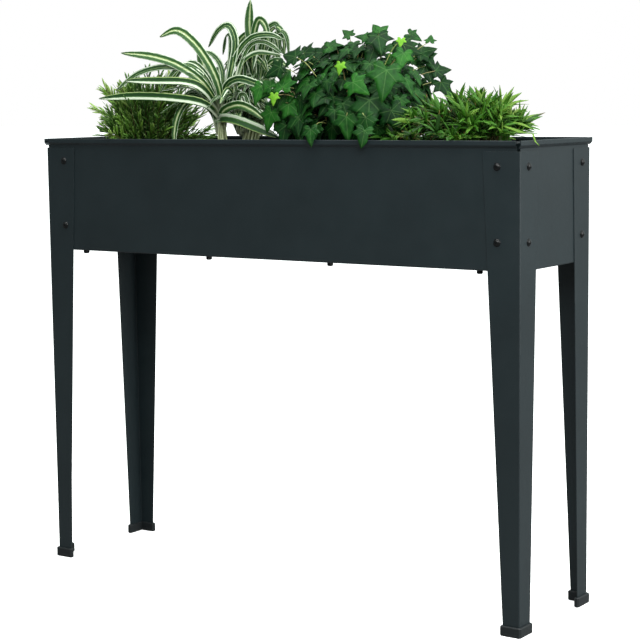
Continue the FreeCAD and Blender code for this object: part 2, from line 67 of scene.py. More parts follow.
# %% [markdown]
# All places come from the frame.  The pots and the rim say where plants may grow, and the stems
# start just above the compost, where the plain foliage of the frame starts.

# %% Tools and sizes used all the way through
import math
import random

import bpy
from mathutils import Matrix, Quaternion, Vector

trough_low, trough_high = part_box("panel_front")
RIM = trough_high.z
PLANTS = ("needle_bush", "spider_plant", "ivy", "bamboo_bush")
pot_centre, stem_foot = {}, {}
for plant in PLANTS:
    low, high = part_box(plant + "_pot")
    pot_centre[plant] = Vector(((low.x + high.x) / 2, 0, high.z))
    stem_foot[plant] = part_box(plant + "_foliage")[0].z


def put(name, data):
    """Puts a new object in the scene."""
    thing = bpy.data.objects.new(name, data)
    bpy.context.scene.collection.objects.link(thing)
    return thing


print("rim of the trough at", round(RIM, 3), "m, nodes:", len(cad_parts))

# %% [markdown]
# ## The camera
#
# The planter is seen from a little above its rim, from the front right, through a long lens that
# keeps the legs nearly parallel.  A camera can be aimed with a Track To constraint, but plain
# angles are easier to repeat, so the camera is turned by three numbers: how far it looks round to
# the left, how far it looks down, and a touch of roll.

# %% Place the camera
LOOK_LEFT, LOOK_DOWN, ROLL = 34.51, 7.14, -0.68  # degrees
CAMERA_PLACE = (1.822, -2.603, 0.872)
LENS = 100.3  # millimetres

camera_data = bpy.data.cameras.new("studio_camera")
camera_data.lens = LENS
camera = put("studio_camera", camera_data)
camera.matrix_world = (
    Matrix.Translation(CAMERA_PLACE)
    @ Matrix.Rotation(math.radians(LOOK_LEFT), 4, "Z")
    @ Matrix.Rotation(math.radians(90 - LOOK_DOWN), 4, "X")
    @ Matrix.Rotation(math.radians(ROLL), 4, "Z")
)
bpy.context.scene.camera = camera
print("camera at", CAMERA_PLACE, "with a lens of", LENS, "mm")

# %% [markdown]
# ## A small workbench for nodes
#
# The room, the floor and every finish are networks of shader nodes.  Wiring them in plain Python
# takes many lines, so this helper holds one network and gives short words for the steps that keep
# coming back: add a node and fill its sockets, do a sum, map one range to another, mix shaders.


# %% The workbench
class Nodes:
    """The network of shader nodes of a material or a world."""

    def __init__(self, owner):
        owner.use_nodes = True
        self.tree = owner.node_tree

    def fill(self, socket, value):
        """Sets a socket to a value, or joins it to another socket."""
        if hasattr(value, "links"):
            self.tree.links.new(value, socket)
        else:
            socket.default_value = value

    def add(self, kind, inputs=None, **settings):
        """Adds a node.  inputs gives a value or another socket for each named socket."""
        node = self.tree.nodes.new("ShaderNode" + kind)
        for name, value in settings.items():
            setattr(node, name, value)
        for socket, value in (inputs or {}).items():
            self.fill(node.inputs[socket], value)
        return node

    def sums(self, operation, first, second=0.0):
        return self.add("Math", {0: first, 1: second}, operation=operation).outputs[0]

    def spread(self, value, low, high, to_low=0.0, to_high=1.0, **settings):
        """Maps low..high to to_low..to_high, and holds the ends."""
        ends = {"From Min": low, "From Max": high, "To Min": to_low, "To Max": to_high}
        return self.add("MapRange", {"Value": value, **ends}, **settings).outputs["Result"]

    def axes(self, vector):
        """The X, Y and Z of a vector."""
        return self.add("SeparateXYZ", {0: vector}).outputs

    def shaders(self, share, first, second):
        """A mixture that holds this share of the second shader."""
        return self.add("MixShader", {0: share, 1: first, 2: second}).outputs[0]

    def by_ray(self, to_lens, to_room):
        """One shader for rays from the lens, another for rays that bounce."""
        return self.shaders(self.add("LightPath").outputs["Is Camera Ray"], to_room, to_lens)


print("words of the workbench:", [word for word in vars(Nodes) if not word.startswith("_")])

# %% [markdown]
# ## The studio
#
# Dark satin paint shows what stands around it more than its own colour.  So the room matters: it
# is bright to the right and above, and dim to the left and in front, and that alone makes the end
# panel lighter than the long front.  The lens itself sees plain white.  The world shader does both
# with a Light Path node, which tells rays from the lens apart from rays that bounce.

# %% Colour handling and the world
# Each row: an axis, where along it the room starts and stops getting brighter, and its brightness
# at the two ends.
SIDES = (("X", -0.75, 1.0, 0.04, 1.15), ("Z", -0.1, 1.0, 0.0, 0.8), ("Y", -1.0, 1.0, -0.02, 0.25))
ROOM_TINT = (0.93, 1.0, 0.985, 1)

bpy.context.scene.view_settings.view_transform = "Standard"
world = bpy.data.worlds.new("white_studio")
bpy.context.scene.world = world
sky = Nodes(world)
sky.tree.nodes.clear()
direction = sky.axes(sky.add("TexCoord").outputs["Generated"])
glow = 0.0
for axis, low, high, dim, bright in SIDES:
    side = sky.spread(direction[axis], low, high, dim, bright, interpolation_type="SMOOTHSTEP")
    glow = sky.sums("ADD", glow, side)
room = sky.add("Background", {"Color": ROOM_TINT, "Strength": glow}).outputs[0]
backdrop = sky.add("Background", {"Color": (1, 1, 1, 1), "Strength": 1.0}).outputs[0]
sky.add("OutputWorld", {"Surface": sky.by_ray(backdrop, room)})
print("world with", len(sky.tree.nodes), "nodes")

# %% [markdown]
# Four soft boxes finish the room: a large one to the right, a wide one overhead for the leaves,
# and two smaller ones in front.  The near one fades along the trough from right to left, and the
# small high one puts a bright point on each domed bolt.


# %% Hang the soft boxes
def soft_box(name, place, aim, size, watts):
    data = bpy.data.lights.new(name, "AREA")
    data.shape = "RECTANGLE"
    data.size, data.size_y = size
    data.energy = watts
    light = put(name, data)
    light.location = place
    light.rotation_euler = (Vector(aim) - Vector(place)).to_track_quat("-Z", "Y").to_euler()
    light.visible_camera = False
    print(name, watts, "W")


soft_box("right_box", place=(3.2, 0.2, 1.5), aim=(0, 0, 0.6), size=(2.2, 2.4), watts=94)
soft_box("overhead_box", place=(0.2, -0.5, 3.2), aim=(0, 0, 0.8), size=(3.0, 1.6), watts=95)
soft_box("near_box", place=(1.0, -0.9, 1.45), aim=(0.5, -0.1, 0.72), size=(0.6, 0.6), watts=15)
soft_box("bolt_spark", place=(0.9, -3.0, 3.0), aim=(0.1, 0, 0.6), size=(0.35, 0.35), watts=20)

# %% [markdown]
# The floor is one wide pale sheet.  Its shadows are soft, and it is declared as the stage, so it
# isn't taken for part of the planter.  To the lens it is nearly white.  To other rays it is
# darker, or it would fill the undersides of the trough with light.

# %% Lay the floor
FLOOR_REACH = 40.0
FLOOR_Z = -0.0003  # just under the feet
LENS_GREY, LENS_LIFT = 0.9, 0.55  # what the lens sees: a grey sheet and a glow added to it
ROOM_GREY = 0.2  # what the other rays meet

floor_mesh = bpy.data.meshes.new("studio_floor")
corners = [(x * FLOOR_REACH, y * FLOOR_REACH, FLOOR_Z) for x, y in ((-1, -1), (1, -1), (1, 1), (-1, 1))]
floor_mesh.from_pydata(corners, [], [(0, 1, 2, 3)])
floor = put("studio_floor", floor_mesh)

pale = bpy.data.materials.new("pale_floor")
wires = Nodes(pale)
wires.tree.nodes.clear()
sheet = wires.add("BsdfDiffuse", {"Color": (LENS_GREY, LENS_GREY, LENS_GREY, 1)}).outputs[0]
lift = wires.add("Emission", {"Strength": LENS_LIFT}).outputs[0]
seen = wires.add("AddShader", {0: sheet, 1: lift}).outputs[0]
bounced = wires.add("BsdfDiffuse", {"Color": (ROOM_GREY, ROOM_GREY, ROOM_GREY, 1)}).outputs[0]
wires.add("OutputMaterial", {"Surface": wires.by_ray(seen, bounced)})
floor_mesh.materials.append(pale)
floor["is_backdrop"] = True
print("floor of", 2 * FLOOR_REACH, "m")

# %% [markdown]
# ## Finishes
#
# Every finish below is a Principled shader with procedural nodes in front of it, so the workbench
# gets a few more words: noise at a real size, a blend of two colours, a ramp of several, and a
# bump that raises the surface.


# %% The workbench for finishes
COLOUR_A, COLOUR_B, MIXED_COLOUR = 6, 7, 2  # the colour sockets of a Mix node
NOISE_LOW, NOISE_HIGH = 0.3, 0.7  # noise hardly ever leaves this range


class Finish(Nodes):
    """One material.  Positions are in metres."""

    def __init__(self, name, **sockets):
        self.material = bpy.data.materials.new(name)
        super().__init__(self.material)
        self.shader = self.tree.nodes["Principled BSDF"]
        for socket, value in sockets.items():
            self.set(socket.replace("_", " "), value)
        self.place = self.add("TexCoord").outputs["Object"]

    def set(self, socket, value):
        self.fill(self.shader.inputs[socket], value)

    def noise(self, size, detail=2.0, where=None, roughness=0.5):
        """Noise whose blotches are about size metres across."""
        inputs = {"Scale": 1 / size, "Detail": detail, "Roughness": roughness, "Vector": where or self.place}
        return self.add("TexNoise", inputs).outputs["Fac"]

    def stretch(self, vector, scale):
        """Positions for noise that is drawn out along an axis."""
        return self.add("Mapping", {"Vector": vector, "Scale": scale}).outputs[0]

    def blend(self, amount, first, second):
        """A colour between two others."""
        inputs = {"Factor": amount, COLOUR_A: first, COLOUR_B: second}
        return self.add("Mix", inputs, data_type="RGBA").outputs[MIXED_COLOUR]

    def bands(self, value, stops):
        """A smooth colour ramp from a list of (position, colour)."""
        node = self.add("ValToRGB", {"Fac": value})
        ramp = node.color_ramp
        ramp.interpolation = "EASE"
        while len(ramp.elements) < len(stops):
            ramp.elements.new(0.5)
        for element, (position, colour) in zip(ramp.elements, stops):
            element.position = position
            element.color = colour
        return node.outputs["Color"]

    def bump(self, height, depth, strength, on=None):
        """Raises the surface by up to depth metres, on top of another relief if there is one."""
        inputs = {"Strength": strength, "Distance": depth, "Height": height}
        if on is not None:
            inputs["Normal"] = on
        return self.add("Bump", inputs).outputs["Normal"]

    def soft_edges(self, radius):
        """Light catches a worn or coated edge as if it were slightly round."""
        return self.add("Bevel", {"Radius": radius}, samples=6).outputs["Normal"]

    def gloss(self, size, low, high, detail=2):
        """Roughness that wanders between low and high."""
        self.set("Roughness", self.spread(self.noise(size, detail), NOISE_LOW, NOISE_HIGH, low, high))

    def grain(self, size, depth, strength, detail=2, on=None):
        """A fine relief all over the surface."""
        self.set("Normal", self.bump(self.noise(size, detail), depth, strength, on))


def shade(red, green, blue):
    """A colour from the 0 to 255 numbers of a colour picker."""
    shares = [c / 255 for c in (red, green, blue)]
    return (*[c / 12.92 if c <= 0.04 else ((c + 0.055) / 1.055) ** 2.4 for c in shares], 1.0)


def dress(finish, *beginnings):
    """Gives a finish to every CAD node whose name begins so."""
    nodes = [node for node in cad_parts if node.startswith(beginnings)]
    for node in nodes:
        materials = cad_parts[node].data.materials
        materials.clear()
        materials.append(finish.material)
    print(finish.material.name, "on", nodes)


print("mid grey, 128 in a colour picker, is", round(shade(128, 128, 128)[0], 3), "to a shader")


# %% [markdown]
# ## Powder coat
#
# The sheet steel is sprayed with anthracite powder and baked.  The film is even and satin, with a
# very fine orange peel, and it rounds every cut edge a little.  A flat dark grey would look like
# plastic, so three layers of noise do the work: fine grain and slow waves in the bump, broad soft
# blotches in the colour, and a little change in the gloss.

# %% Powder coat on panels, plate and legs
DARK_ANTHRACITE, PALE_ANTHRACITE = (0.0060, 0.0110, 0.0128, 1), (0.0078, 0.0138, 0.0160, 1)

powder = Finish("anthracite_powder_coat", Specular_IOR_Level=0.3)
blotches = powder.spread(powder.noise(0.11, 3), NOISE_LOW, NOISE_HIGH)
powder.set("Base Color", powder.blend(blotches, DARK_ANTHRACITE, PALE_ANTHRACITE))
powder.gloss(0.03, 0.43, 0.50, detail=3)
orange_peel = powder.bump(powder.noise(0.0035, 1), 0.00005, 0.5, powder.soft_edges(0.0009))
powder.grain(0.0008, 0.00002, 0.6, on=orange_peel)
dress(powder, "panel_", "base_plate", "leg_front", "leg_back")

# %% [markdown]
# ## Plastic foot caps
#
# The caps are injection moulded: matte, with a fine spark-eroded grain, and scuffed paler low down
# where they slide on the floor.  Height above the floor picks the scuffed band, and noise breaks
# it up, so no second material is needed.

# %% Foot caps
SCUFF_TOP = 0.006
PLASTIC, SCUFFED = (0.0062, 0.0085, 0.0095, 1), (0.022, 0.025, 0.026, 1)

moulded = Finish("moulded_foot_plastic", Specular_IOR_Level=0.28)
low_down = moulded.spread(moulded.axes(moulded.place)["Z"], 0.0, SCUFF_TOP, 1.0, 0.0)
scuffs = moulded.sums("MULTIPLY", low_down, moulded.spread(moulded.noise(0.004, 4), 0.45, 0.65))
moulded.set("Base Color", moulded.blend(scuffs, PLASTIC, SCUFFED))
moulded.gloss(0.006, 0.50, 0.60)
moulded.grain(0.0006, 0.00003, 0.6, on=moulded.soft_edges(0.0006))
dress(moulded, "foot_cap_")

# %% [markdown]
# ## Black bolts
#
# The coach bolts are blackened steel with a lacquer, so they are glossier than the paint and each
# dome gathers one highlight.  A low specular level keeps the rest of the dome nearly black.

# %% Bolts
BLACKENED, WORN_BLACK = (0.0016, 0.0019, 0.0020, 1), (0.0042, 0.0048, 0.0052, 1)

lacquered = Finish("black_lacquered_steel", Specular_IOR_Level=0.16)
lacquered.set("Base Color", lacquered.blend(lacquered.noise(0.002, 3), BLACKENED, WORN_BLACK))
lacquered.gloss(0.001, 0.12, 0.18)
lacquered.grain(0.0009, 0.00002, 0.4, on=lacquered.soft_edges(0.0006))
dress(lacquered, "leg_bolts", "base_bolts")

# %% [markdown]
# ## Nursery pots
#
# The pots are thin black recycled plastic.  Such pots are never an even black: the melt leaves
# faint grey flow lines that run down the walls, and the surface is half dull, half greasy.  Noise
# drawn out along the height makes the lines.

# %% Pots
FLOW_STRETCH = 0.12  # the noise changes this much as fast down the wall as across it
BLACK_MELT, GREY_MELT = (0.0055, 0.0055, 0.0055, 1), (0.017, 0.017, 0.016, 1)

recycled = Finish("recycled_black_plastic", Specular_IOR_Level=0.4)
drawn_out = recycled.stretch(recycled.place, (1, 1, FLOW_STRETCH))
flow = recycled.spread(recycled.noise(0.006, 4, drawn_out), 0.45, 0.75)
recycled.set("Base Color", recycled.blend(flow, BLACK_MELT, GREY_MELT))
recycled.gloss(0.02, 0.42, 0.62, detail=3)
recycled.grain(0.0012, 0.00004, 0.5, on=recycled.soft_edges(0.0008))
dress(recycled, *[plant + "_pot" for plant in PLANTS])

# %% [markdown]
# ## Building meshes
#
# A plant is hundreds of thin parts, and one object per leaf would be slow.  So leaves are gathered
# in a pile: plain lists of points and faces that become one mesh at the end.  Each point also
# carries three numbers for the finish: where it lies across the leaf, where it lies along it, and
# the tone of its own leaf.  The first two go into the UV map and the third into an attribute.


# %% The leaf pile
class LeafPile:
    """Many leaves or stems in one mesh."""

    def __init__(self, name, body):
        self.name, self.body = name, body
        self.points, self.faces, self.where, self.tones = [], [], [], []
        self.over_the_rim = set()

    def hang(self, first):
        """Lets all points from the given one on hang down outside the trough."""
        self.over_the_rim.update(range(first, len(self.points)))

    def rows(self, rows, across, tone):
        """Adds a strip from rows of points.  across is the position of each column, 0 to 1."""
        first = len(self.points)
        wide = len(across)
        for i, row in enumerate(rows):
            for point, a in zip(row, across):
                self.points.append(point)
                self.where.append((a, i / (len(rows) - 1)))
                self.tones.append(tone)
        for i in range(len(rows) - 1):
            for j in range(wide - 1):
                a = first + i * wide + j
                self.faces.append((a, a + 1, a + wide + 1, a + wide))

    def tube(self, path, thick, thin, tone, sides):
        """Adds a round stem along a path, of these radii at its two ends."""
        rows = []
        across = [j / sides for j in range(sides + 1)]
        for i, point in enumerate(path):
            way = (path[min(i + 1, len(path) - 1)] - path[max(i - 1, 0)]).normalized()
            side = way.orthogonal().normalized()
            other = way.cross(side)
            turns = [2 * math.pi * a for a in across]
            radius = thick + (thin - thick) * i / (len(path) - 1)
            rows.append([point + radius * (side * math.cos(t) + other * math.sin(t)) for t in turns])
        self.rows(rows, across, tone)

    def finish(self, finish, thickness=None, squeeze=True):
        """Turns the pile into one object that rides on its body."""
        mesh = bpy.data.meshes.new(self.name)
        points = self.points
        if squeeze:
            points = [keep_over_trough(p, i in self.over_the_rim) for i, p in enumerate(points)]
        mesh.from_pydata([tuple(p) for p in points], [], self.faces)
        uv = mesh.uv_layers.new(name="leaf")
        for corner in mesh.loops:
            uv.data[corner.index].uv = self.where[corner.vertex_index]
        tone = mesh.attributes.new("tone", "FLOAT", "POINT")
        tone.data.foreach_set("value", self.tones)
        mesh.polygons.foreach_set("use_smooth", [True] * len(mesh.polygons))
        mesh.materials.append(finish.material)
        piece = put(self.name, mesh)
        if thickness:
            solid = piece.modifiers.new("thickness", "SOLIDIFY")
            solid.thickness = thickness
            solid.offset = 0
        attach(piece, self.body)
        print(self.name, len(self.points), "points,", len(self.faces), "faces")
        return piece


# %% [markdown]
# Leaves lie on the rim or hang outside it, but they don't run through the steel.  Pushing each
# plant into place by hand would be slow, so every point is checked once: one that reaches far to
# the front or the back is drawn in softly, and one that isn't over the open trough is lifted above
# the rim.  The corners count as steel too, so that no leaf shows between the rims there.

# %% Keep the leaves over the trough
inner_low, inner_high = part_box("base_plate")
front_face, right_face = trough_low.y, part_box("panel_right")[1].x
FREE_REACH, PRESSED = 0.088, 0.054  # from the middle, and how much further at the very most
FURTHEST_FRONT = 0.143  # for leaves that hang outside
END_MARGIN, SIDE_MARGIN = 0.115, 0.003  # of the open trough, from the edges of the base plate
OUTSIDE_GAP = 0.002
RIM_GAP = 0.003
LIFT_FROM, LIFT_SHARE = 0.03, 0.2  # points from this far below the rim keep a share of their height


def pressed_in(y):
    """Leaves that reach far out are pressed back softly, as a wall or a passer-by does."""
    if abs(y) < FREE_REACH:
        return y
    return math.copysign(FREE_REACH + PRESSED * math.tanh((abs(y) - FREE_REACH) / PRESSED), y)


def keep_over_trough(point, hangs):
    """Presses a point back, and lifts it over the rim if it would be inside the steel.  Only a
    leaf that hangs over the rim may be lower outside."""
    x, y, z = point.x, max(-FURTHEST_FRONT, point.y) if hangs else pressed_in(point.y), point.z
    over_open_trough = (
        inner_low.x + END_MARGIN < x < inner_high.x - END_MARGIN
        and inner_low.y + SIDE_MARGIN < y < inner_high.y - SIDE_MARGIN
    )
    clear_outside = y < front_face - OUTSIDE_GAP or x > right_face + OUTSIDE_GAP
    if not over_open_trough and not (hangs and clear_outside):
        z = max(z, RIM + RIM_GAP + LIFT_SHARE * max(0.0, z - RIM + LIFT_FROM))
    return Vector((x, y, z))


print("open trough", [round(v, 3) for v in (*inner_low[:2], *inner_high[:2])])

# %% [markdown]
# A stem or a leaf starts in one direction and bends down under its own weight.  Its middle rib is
# drawn as a smooth line through three to six points.  Blender's own curves could draw it too, but
# a line worked out here is at hand at once, to set leaves along it.  Stems with random headings
# would bunch up, so each turns by the golden angle from the one before, as buds do on a stem.

# %% Lines that leaves follow
GOLDEN_ANGLE = 137.5


def smooth_through(points, steps):
    """A smooth line through points, with the same number of steps between each two."""
    ends = [2 * points[0] - points[1], *points, 2 * points[-1] - points[-2]]
    line = [Vector(points[0])]
    for before, a, b, after in zip(ends, ends[1:], ends[2:], ends[3:]):
        for i in range(1, steps + 1):
            t = i / steps
            line.append(0.5 * (
                2 * a
                + (b - before) * t
                + (2 * before - 5 * a + 4 * b - after) * t**2
                + (3 * a - before - 3 * b + after) * t**3
            ))
    return line


def outward(heading):
    """A level direction from its heading in degrees, where 0 points along +X."""
    return Vector((math.cos(math.radians(heading)), math.sin(math.radians(heading)), 0))


def upward(height):
    return Vector((0, 0, height))


def between(rng, low, high):
    return low + (high - low) * rng.random()


def somewhere(rng):
    """A random direction."""
    return Vector([between(rng, -1, 1) for _ in range(3)])


def about(rng, x, y, z, play):
    """A direction close to this one."""
    return (Vector((x, y, z)) + somewhere(rng) * play).normalized()


def above_rim(plant, x, y, z):
    """A place in centimetres: from the middle of the pot, towards the back, and above the rim."""
    return Vector((pot_centre[plant].x + x / 100, y / 100, RIM + z / 100))


def on_compost(plant, x=0.0, y=0.0):
    """A place where a stem starts, in centimetres from the middle of the pot."""
    return Vector((pot_centre[plant].x + x / 100, y / 100, stem_foot[plant]))


def spiral(count):
    """Headings and distances, up to 1, that share a round patch out evenly, as buds share a stem."""
    for k in range(count):
        yield k * GOLDEN_ANGLE, math.sqrt((k + 0.5) / count)


sample = smooth_through([Vector((0, 0, 0)), Vector((1, 0, 1)), Vector((2, 0, 0))], 5)
print("a line through 3 points, 5 steps apart, has", len(sample), "points")

# %% [markdown]
# Most leaves here are long blades: needles, bamboo leaves and the straps of the spider plant
# differ only in size and outline.  Each is a strip laid along its middle rib and folded into a
# shallow V, which stiffens a real leaf and gives it one light and one dark half.


# %% Blades
def blade(pile, path, width, outline, tone, face, fold=20.0, columns=3):
    """A blade along a path, with its upper side turned towards face.  outline(t) is its share of
    the width at t, from 0 at the base to 1 at the tip."""
    across = [j / (columns - 1) for j in range(columns)]
    rows = []
    out = None
    for i, point in enumerate(path):
        t = i / (len(path) - 1)
        way = (path[min(i + 1, len(path) - 1)] - path[max(i - 1, 0)]).normalized()
        wanted = face.cross(way)
        if out is not None:
            wanted = wanted.normalized() * 0.5 + out
        out = (wanted - way * wanted.dot(way)).normalized()
        up = way.cross(out)
        half = width / 2 * outline(t)
        opening = math.radians(fold * (1 - 0.5 * t))
        rows.append([
            point
            + out * ((2 * a - 1) * half * math.cos(opening))
            + up * (abs(2 * a - 1) * half * math.sin(opening))
            for a in across
        ])
    pile.rows(rows, across, tone)


def strap_outline(t):
    """Narrow at the base, even along most of its length, and round into a short point."""
    base = 0.55 + 0.45 * min(1.0, t / 0.3)
    point = max(0.0, (t - 0.66) / 0.34)
    return base * max(0.03, 1 - point**2.2) ** 0.62


def lance_outline(t):
    """Widest a third of the way along, drawn out to a point."""
    return max(0.04, math.sin(math.pi * t**0.62)) ** 0.85


def needle_outline(t):
    """Nearly even, with a short blunt point."""
    return (0.5, 1.0, 0.85, 0.15)[min(3, round(3 * t))]


for outline in (strap_outline, lance_outline, needle_outline):
    print(outline.__name__, [round(outline(t / 4), 2) for t in range(5)])

# %% [markdown]
# ## Leaf finishes
#
# A leaf is thin, so some light goes through it.  A Principled shader alone makes leaves look like
# painted card, and full subsurface scattering is slow.  The usual short cut is to mix in a
# Translucent shader: lit from behind, the leaf then glows a little in its own colour.


# %% Leaf base
def leaf_finish(name, shine):
    finish = Finish(name, Specular_IOR_Level=shine)
    finish.uv = finish.add("UVMap", uv_map="leaf").outputs["UV"]
    finish.across, finish.along, _ = finish.axes(finish.uv)
    finish.tone = finish.add("Attribute", attribute_name="tone").outputs["Fac"]
    return finish


def ribs(finish, scale):
    """Fine lines that run along the leaf."""
    return finish.add("TexWave", {"Scale": scale, "Vector": finish.uv}, bands_direction="X").outputs["Fac"]


def let_light_through(finish, colour, share):
    """Sets the colour, and mixes in a share of a Translucent shader of the same colour."""
    finish.set("Base Color", colour)
    glow_through = finish.add("BsdfTranslucent", {"Color": colour}).outputs[0]
    leaf = finish.shaders(share, finish.shader.outputs[0], glow_through)
    finish.fill(finish.tree.nodes["Material Output"].inputs["Surface"], leaf)
    print(finish.material.name, "with", len(finish.tree.nodes), "nodes")


# %% [markdown]
# ## Compost
#
# Each pot is filled with dark peat and bark, slightly heaped round the stems.  The CAD solid is a
# plain block, so a lumpy mound replaces it: a grid over the pot's opening, raised by layered
# waves, with a skirt down inside the pot.  Bark chips are scattered on top.

# %% Compost finish
peat = Finish("peat_and_bark", Roughness=0.95, Specular_IOR_Level=0.2)
crumbs = peat.noise(0.0045, 5, roughness=0.7)
peat.set("Base Color", peat.bands(peat.spread(crumbs, 0.3, 0.7), [
    (0.0, (0.006, 0.004, 0.003, 1)),
    (0.55, (0.020, 0.012, 0.008, 1)),
    (1.0, (0.060, 0.036, 0.022, 1)),
]))
peat.set("Normal", peat.bump(crumbs, 0.0016, 0.9))
print("peat with", len(peat.tree.nodes), "nodes")

# %% [markdown]
# The mound shows between the leaves, and from all sides when its pot is lifted out.  Its edge
# follows the pot's cut corners, and its skirt tapers with the pot.  The chips are the first use of
# the blade: short, broad in the middle and nearly flat.

# %% Compost mounds
CELLS = 30  # of the grid, along each side
CUT_CORNER = 1.81  # the furthest that x and y add up to at the corners, in half widths
HEAP, LUMP, SUNK = 0.004, 0.0006, 0.001  # the heap's height, the lumps', and how deep it has settled
SKIRT_SHARE = 0.74  # the pot tapers, and its cut corners draw in further than its walls
CHIPS, CHIP_BEND = 46, 6  # how many, and how far each bends down, in degrees


def chip_outline(t):
    """A bark chip is broadest in the middle."""
    return 1 - 0.5 * abs(2 * t - 1)


def chip_line(start, heading, lift, length):
    """A line of two steps that bends down a little."""
    points = [start]
    for t in (0.25, 0.75):
        up = math.radians(lift - CHIP_BEND * t**1.5)
        points.append(points[-1] + (outward(heading) * math.cos(up) + upward(math.sin(up))) * (length / 2))
    return points


def mound(plant, rng):
    """Compost with bark on it, in place of the plain block in one pot."""
    low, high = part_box(plant + "_compost")
    middle = pot_centre[plant]
    half = (high.x - low.x) / 2
    edge = high.z - HEAP
    pile = LeafPile(plant + "_compost_mound", plant)
    phases = [between(rng, 0, 6.3) for _ in range(6)]
    top = []
    for j in range(CELLS + 1):
        row = []
        for i in range(CELLS + 1):
            x, y = 2 * i / CELLS - 1, 2 * j / CELLS - 1
            scale = half * CUT_CORNER / max(CUT_CORNER, abs(x) + abs(y))
            lumps = (
                math.sin(9 * x + phases[0]) * math.cos(8 * y + phases[1])
                + math.sin(17 * x + 13 * y + phases[2])
                + math.sin(23 * y - 11 * x + phases[3])
            )
            z = edge + HEAP * (1 - max(abs(x), abs(y)) ** 2) + LUMP * lumps - SUNK
            row.append(Vector((middle.x + x * scale, y * scale, min(z, high.z))))
        top.append(row)
    pile.rows(top, [i / CELLS for i in range(CELLS + 1)], rng.random())
    rim = top[0][:-1] + [r[-1] for r in top[:-1]] + top[-1][:0:-1] + [r[0] for r in top[:0:-1]]
    foot = [Vector((middle.x + (p.x - middle.x) * SKIRT_SHARE, p.y * SKIRT_SHARE, low.z)) for p in rim]
    skirt = [foot + foot[:1], rim + rim[:1]]
    pile.rows(skirt, [i / len(rim) for i in range(len(rim) + 1)], 0.5)
    for _ in range(CHIPS):
        angle, away = between(rng, 0, 360), half * 0.9 * math.sqrt(rng.random())
        place = Vector((middle.x, 0, edge + 0.0035)) + outward(angle) * away
        chip, turn = between(rng, 0.006, 0.014), between(rng, 0, 360)
        line = chip_line(place, turn, between(rng, -10, 18), chip)
        blade(pile, line, chip * between(rng, 0.35, 0.7), chip_outline, rng.random(), upward(1), fold=8)
    piece = pile.finish(peat, thickness=0.0012, squeeze=False)
    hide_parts(plant + "_compost")


for plant in PLANTS:
    mound(plant, random.Random(plant + " compost"))

# %% [markdown]
# ## The needle bush
#
# This bush is a tuft of wiry shoots, each set on both sides with needles of about three
# centimetres, so a shoot looks like a small feather.  The shoots start close together in the pot,
# splay out over the rim and turn up at their tips.  Inside the bush the needles are dark, and the
# young tips are a fresh yellow-green, so each shoot gets a tone that depends on how far it reaches.
# The palest tips and tones are also whitened a little, as a painted sheen.

# %% Needle finish
needle_green = leaf_finish("needle_leaf", 0.3)
# Young growth is paler, and the palest stop and the pale tip colour are whitened further as a painted sheen.
needle_age = needle_green.bands(needle_green.tone, [
    (0.0, shade(34, 66, 24)),
    (0.35, shade(66, 108, 36)),
    (0.7, shade(108, 150, 56)),
    (1.0, shade(168, 190, 116)),
])
young_tip_and_painted_sheen = needle_green.spread(needle_green.along, 0.6, 1.0, 0.0, 0.4)
needle_colour = needle_green.blend(young_tip_and_painted_sheen, needle_age, shade(158, 180, 116))
needle_green.gloss(0.004, 0.42, 0.58)
let_light_through(needle_green, needle_colour, 0.25)

wiry_wood = leaf_finish("wiry_stem", 0.3)
wiry_wood.set("Base Color", wiry_wood.blend(wiry_wood.noise(0.003, 3), shade(50, 52, 26), shade(92, 84, 46)))
wiry_wood.gloss(0.002, 0.55, 0.7)
wiry_wood.grain(0.0012, 0.0002, 0.5, detail=3)


# %% [markdown]
# A shoot is a thin stem with needles to both sides of its outer part.  They stand off widely at
# the foot of the shoot and lie almost along it at the tip, and the longest are just past its
# middle.  So the opening and the length of a needle both follow from its place on the shoot.

# %% One feathery shoot
FIRST_NEEDLE, LAST_NEEDLE = 0.25, 0.999  # as shares of the shoot


def feather_shoot(leaves, stems, rng, path, tone, pairs, needle, width):
    """A shoot along a path, with so many pairs of needles of about this length and width."""
    stems.tube(path, 0.0013, 0.0005, tone, 4)
    steps = len(path) - 1
    roll = between(rng, 0, math.pi)
    for k in range(pairs):
        t = FIRST_NEEDLE + (LAST_NEEDLE - FIRST_NEEDLE) * (k + 0.5) / pairs
        spot = int(t * steps)
        root = path[spot].lerp(path[spot + 1], t * steps - spot)
        way = (path[spot + 1] - path[spot]).normalized()
        for side in (-1, 1):
            around = Quaternion(way, roll + between(rng, -0.5, 0.5)) @ way.orthogonal().normalized() * side
            opening = between(rng, 0.6, 1.15) * (1.1 - 0.75 * t)
            out = (way + around * opening).normalized()
            size = needle * between(rng, 0.75, 1.15) * (1.0 - 0.2 * abs(2 * t - 1.1))
            tip = root + out * size + upward(between(rng, -0.14, 0.10) * size)
            middle = root.lerp(tip, 0.5) + upward(0.04 * size)
            own = max(0, min(1, tone + 0.3 * (t - 0.6) + between(rng, -0.16, 0.16)))
            face = about(rng, 0.1, -0.4, 0.8, 0.9)
            line = [root, root.lerp(middle, 0.9), middle.lerp(tip, 0.6), tip]
            blade(leaves, line, width * between(rng, 0.8, 1.2), needle_outline, own, face, fold=8, columns=2)


print("needles start", FIRST_NEEDLE, "of the way along a shoot")

# %% [markdown]
# Both small bushes are rounded heaps of shoots, so one helper draws the line of a shoot for
# either.  It rises to a shoulder and runs out to its tip, and less far where the bush is narrow.


# %% Lines of a rounded bush
RIGHT = 34.5  # heading that points to the right for someone who stands at the camera
BUSH_REACH, SIDE_LOSS = 0.118, 0.026  # along the trough, and how much less it is across it


def rightness(heading):
    """1 for a heading to the right of the viewer, -1 for one to the left."""
    return math.cos(math.radians(heading - RIGHT))


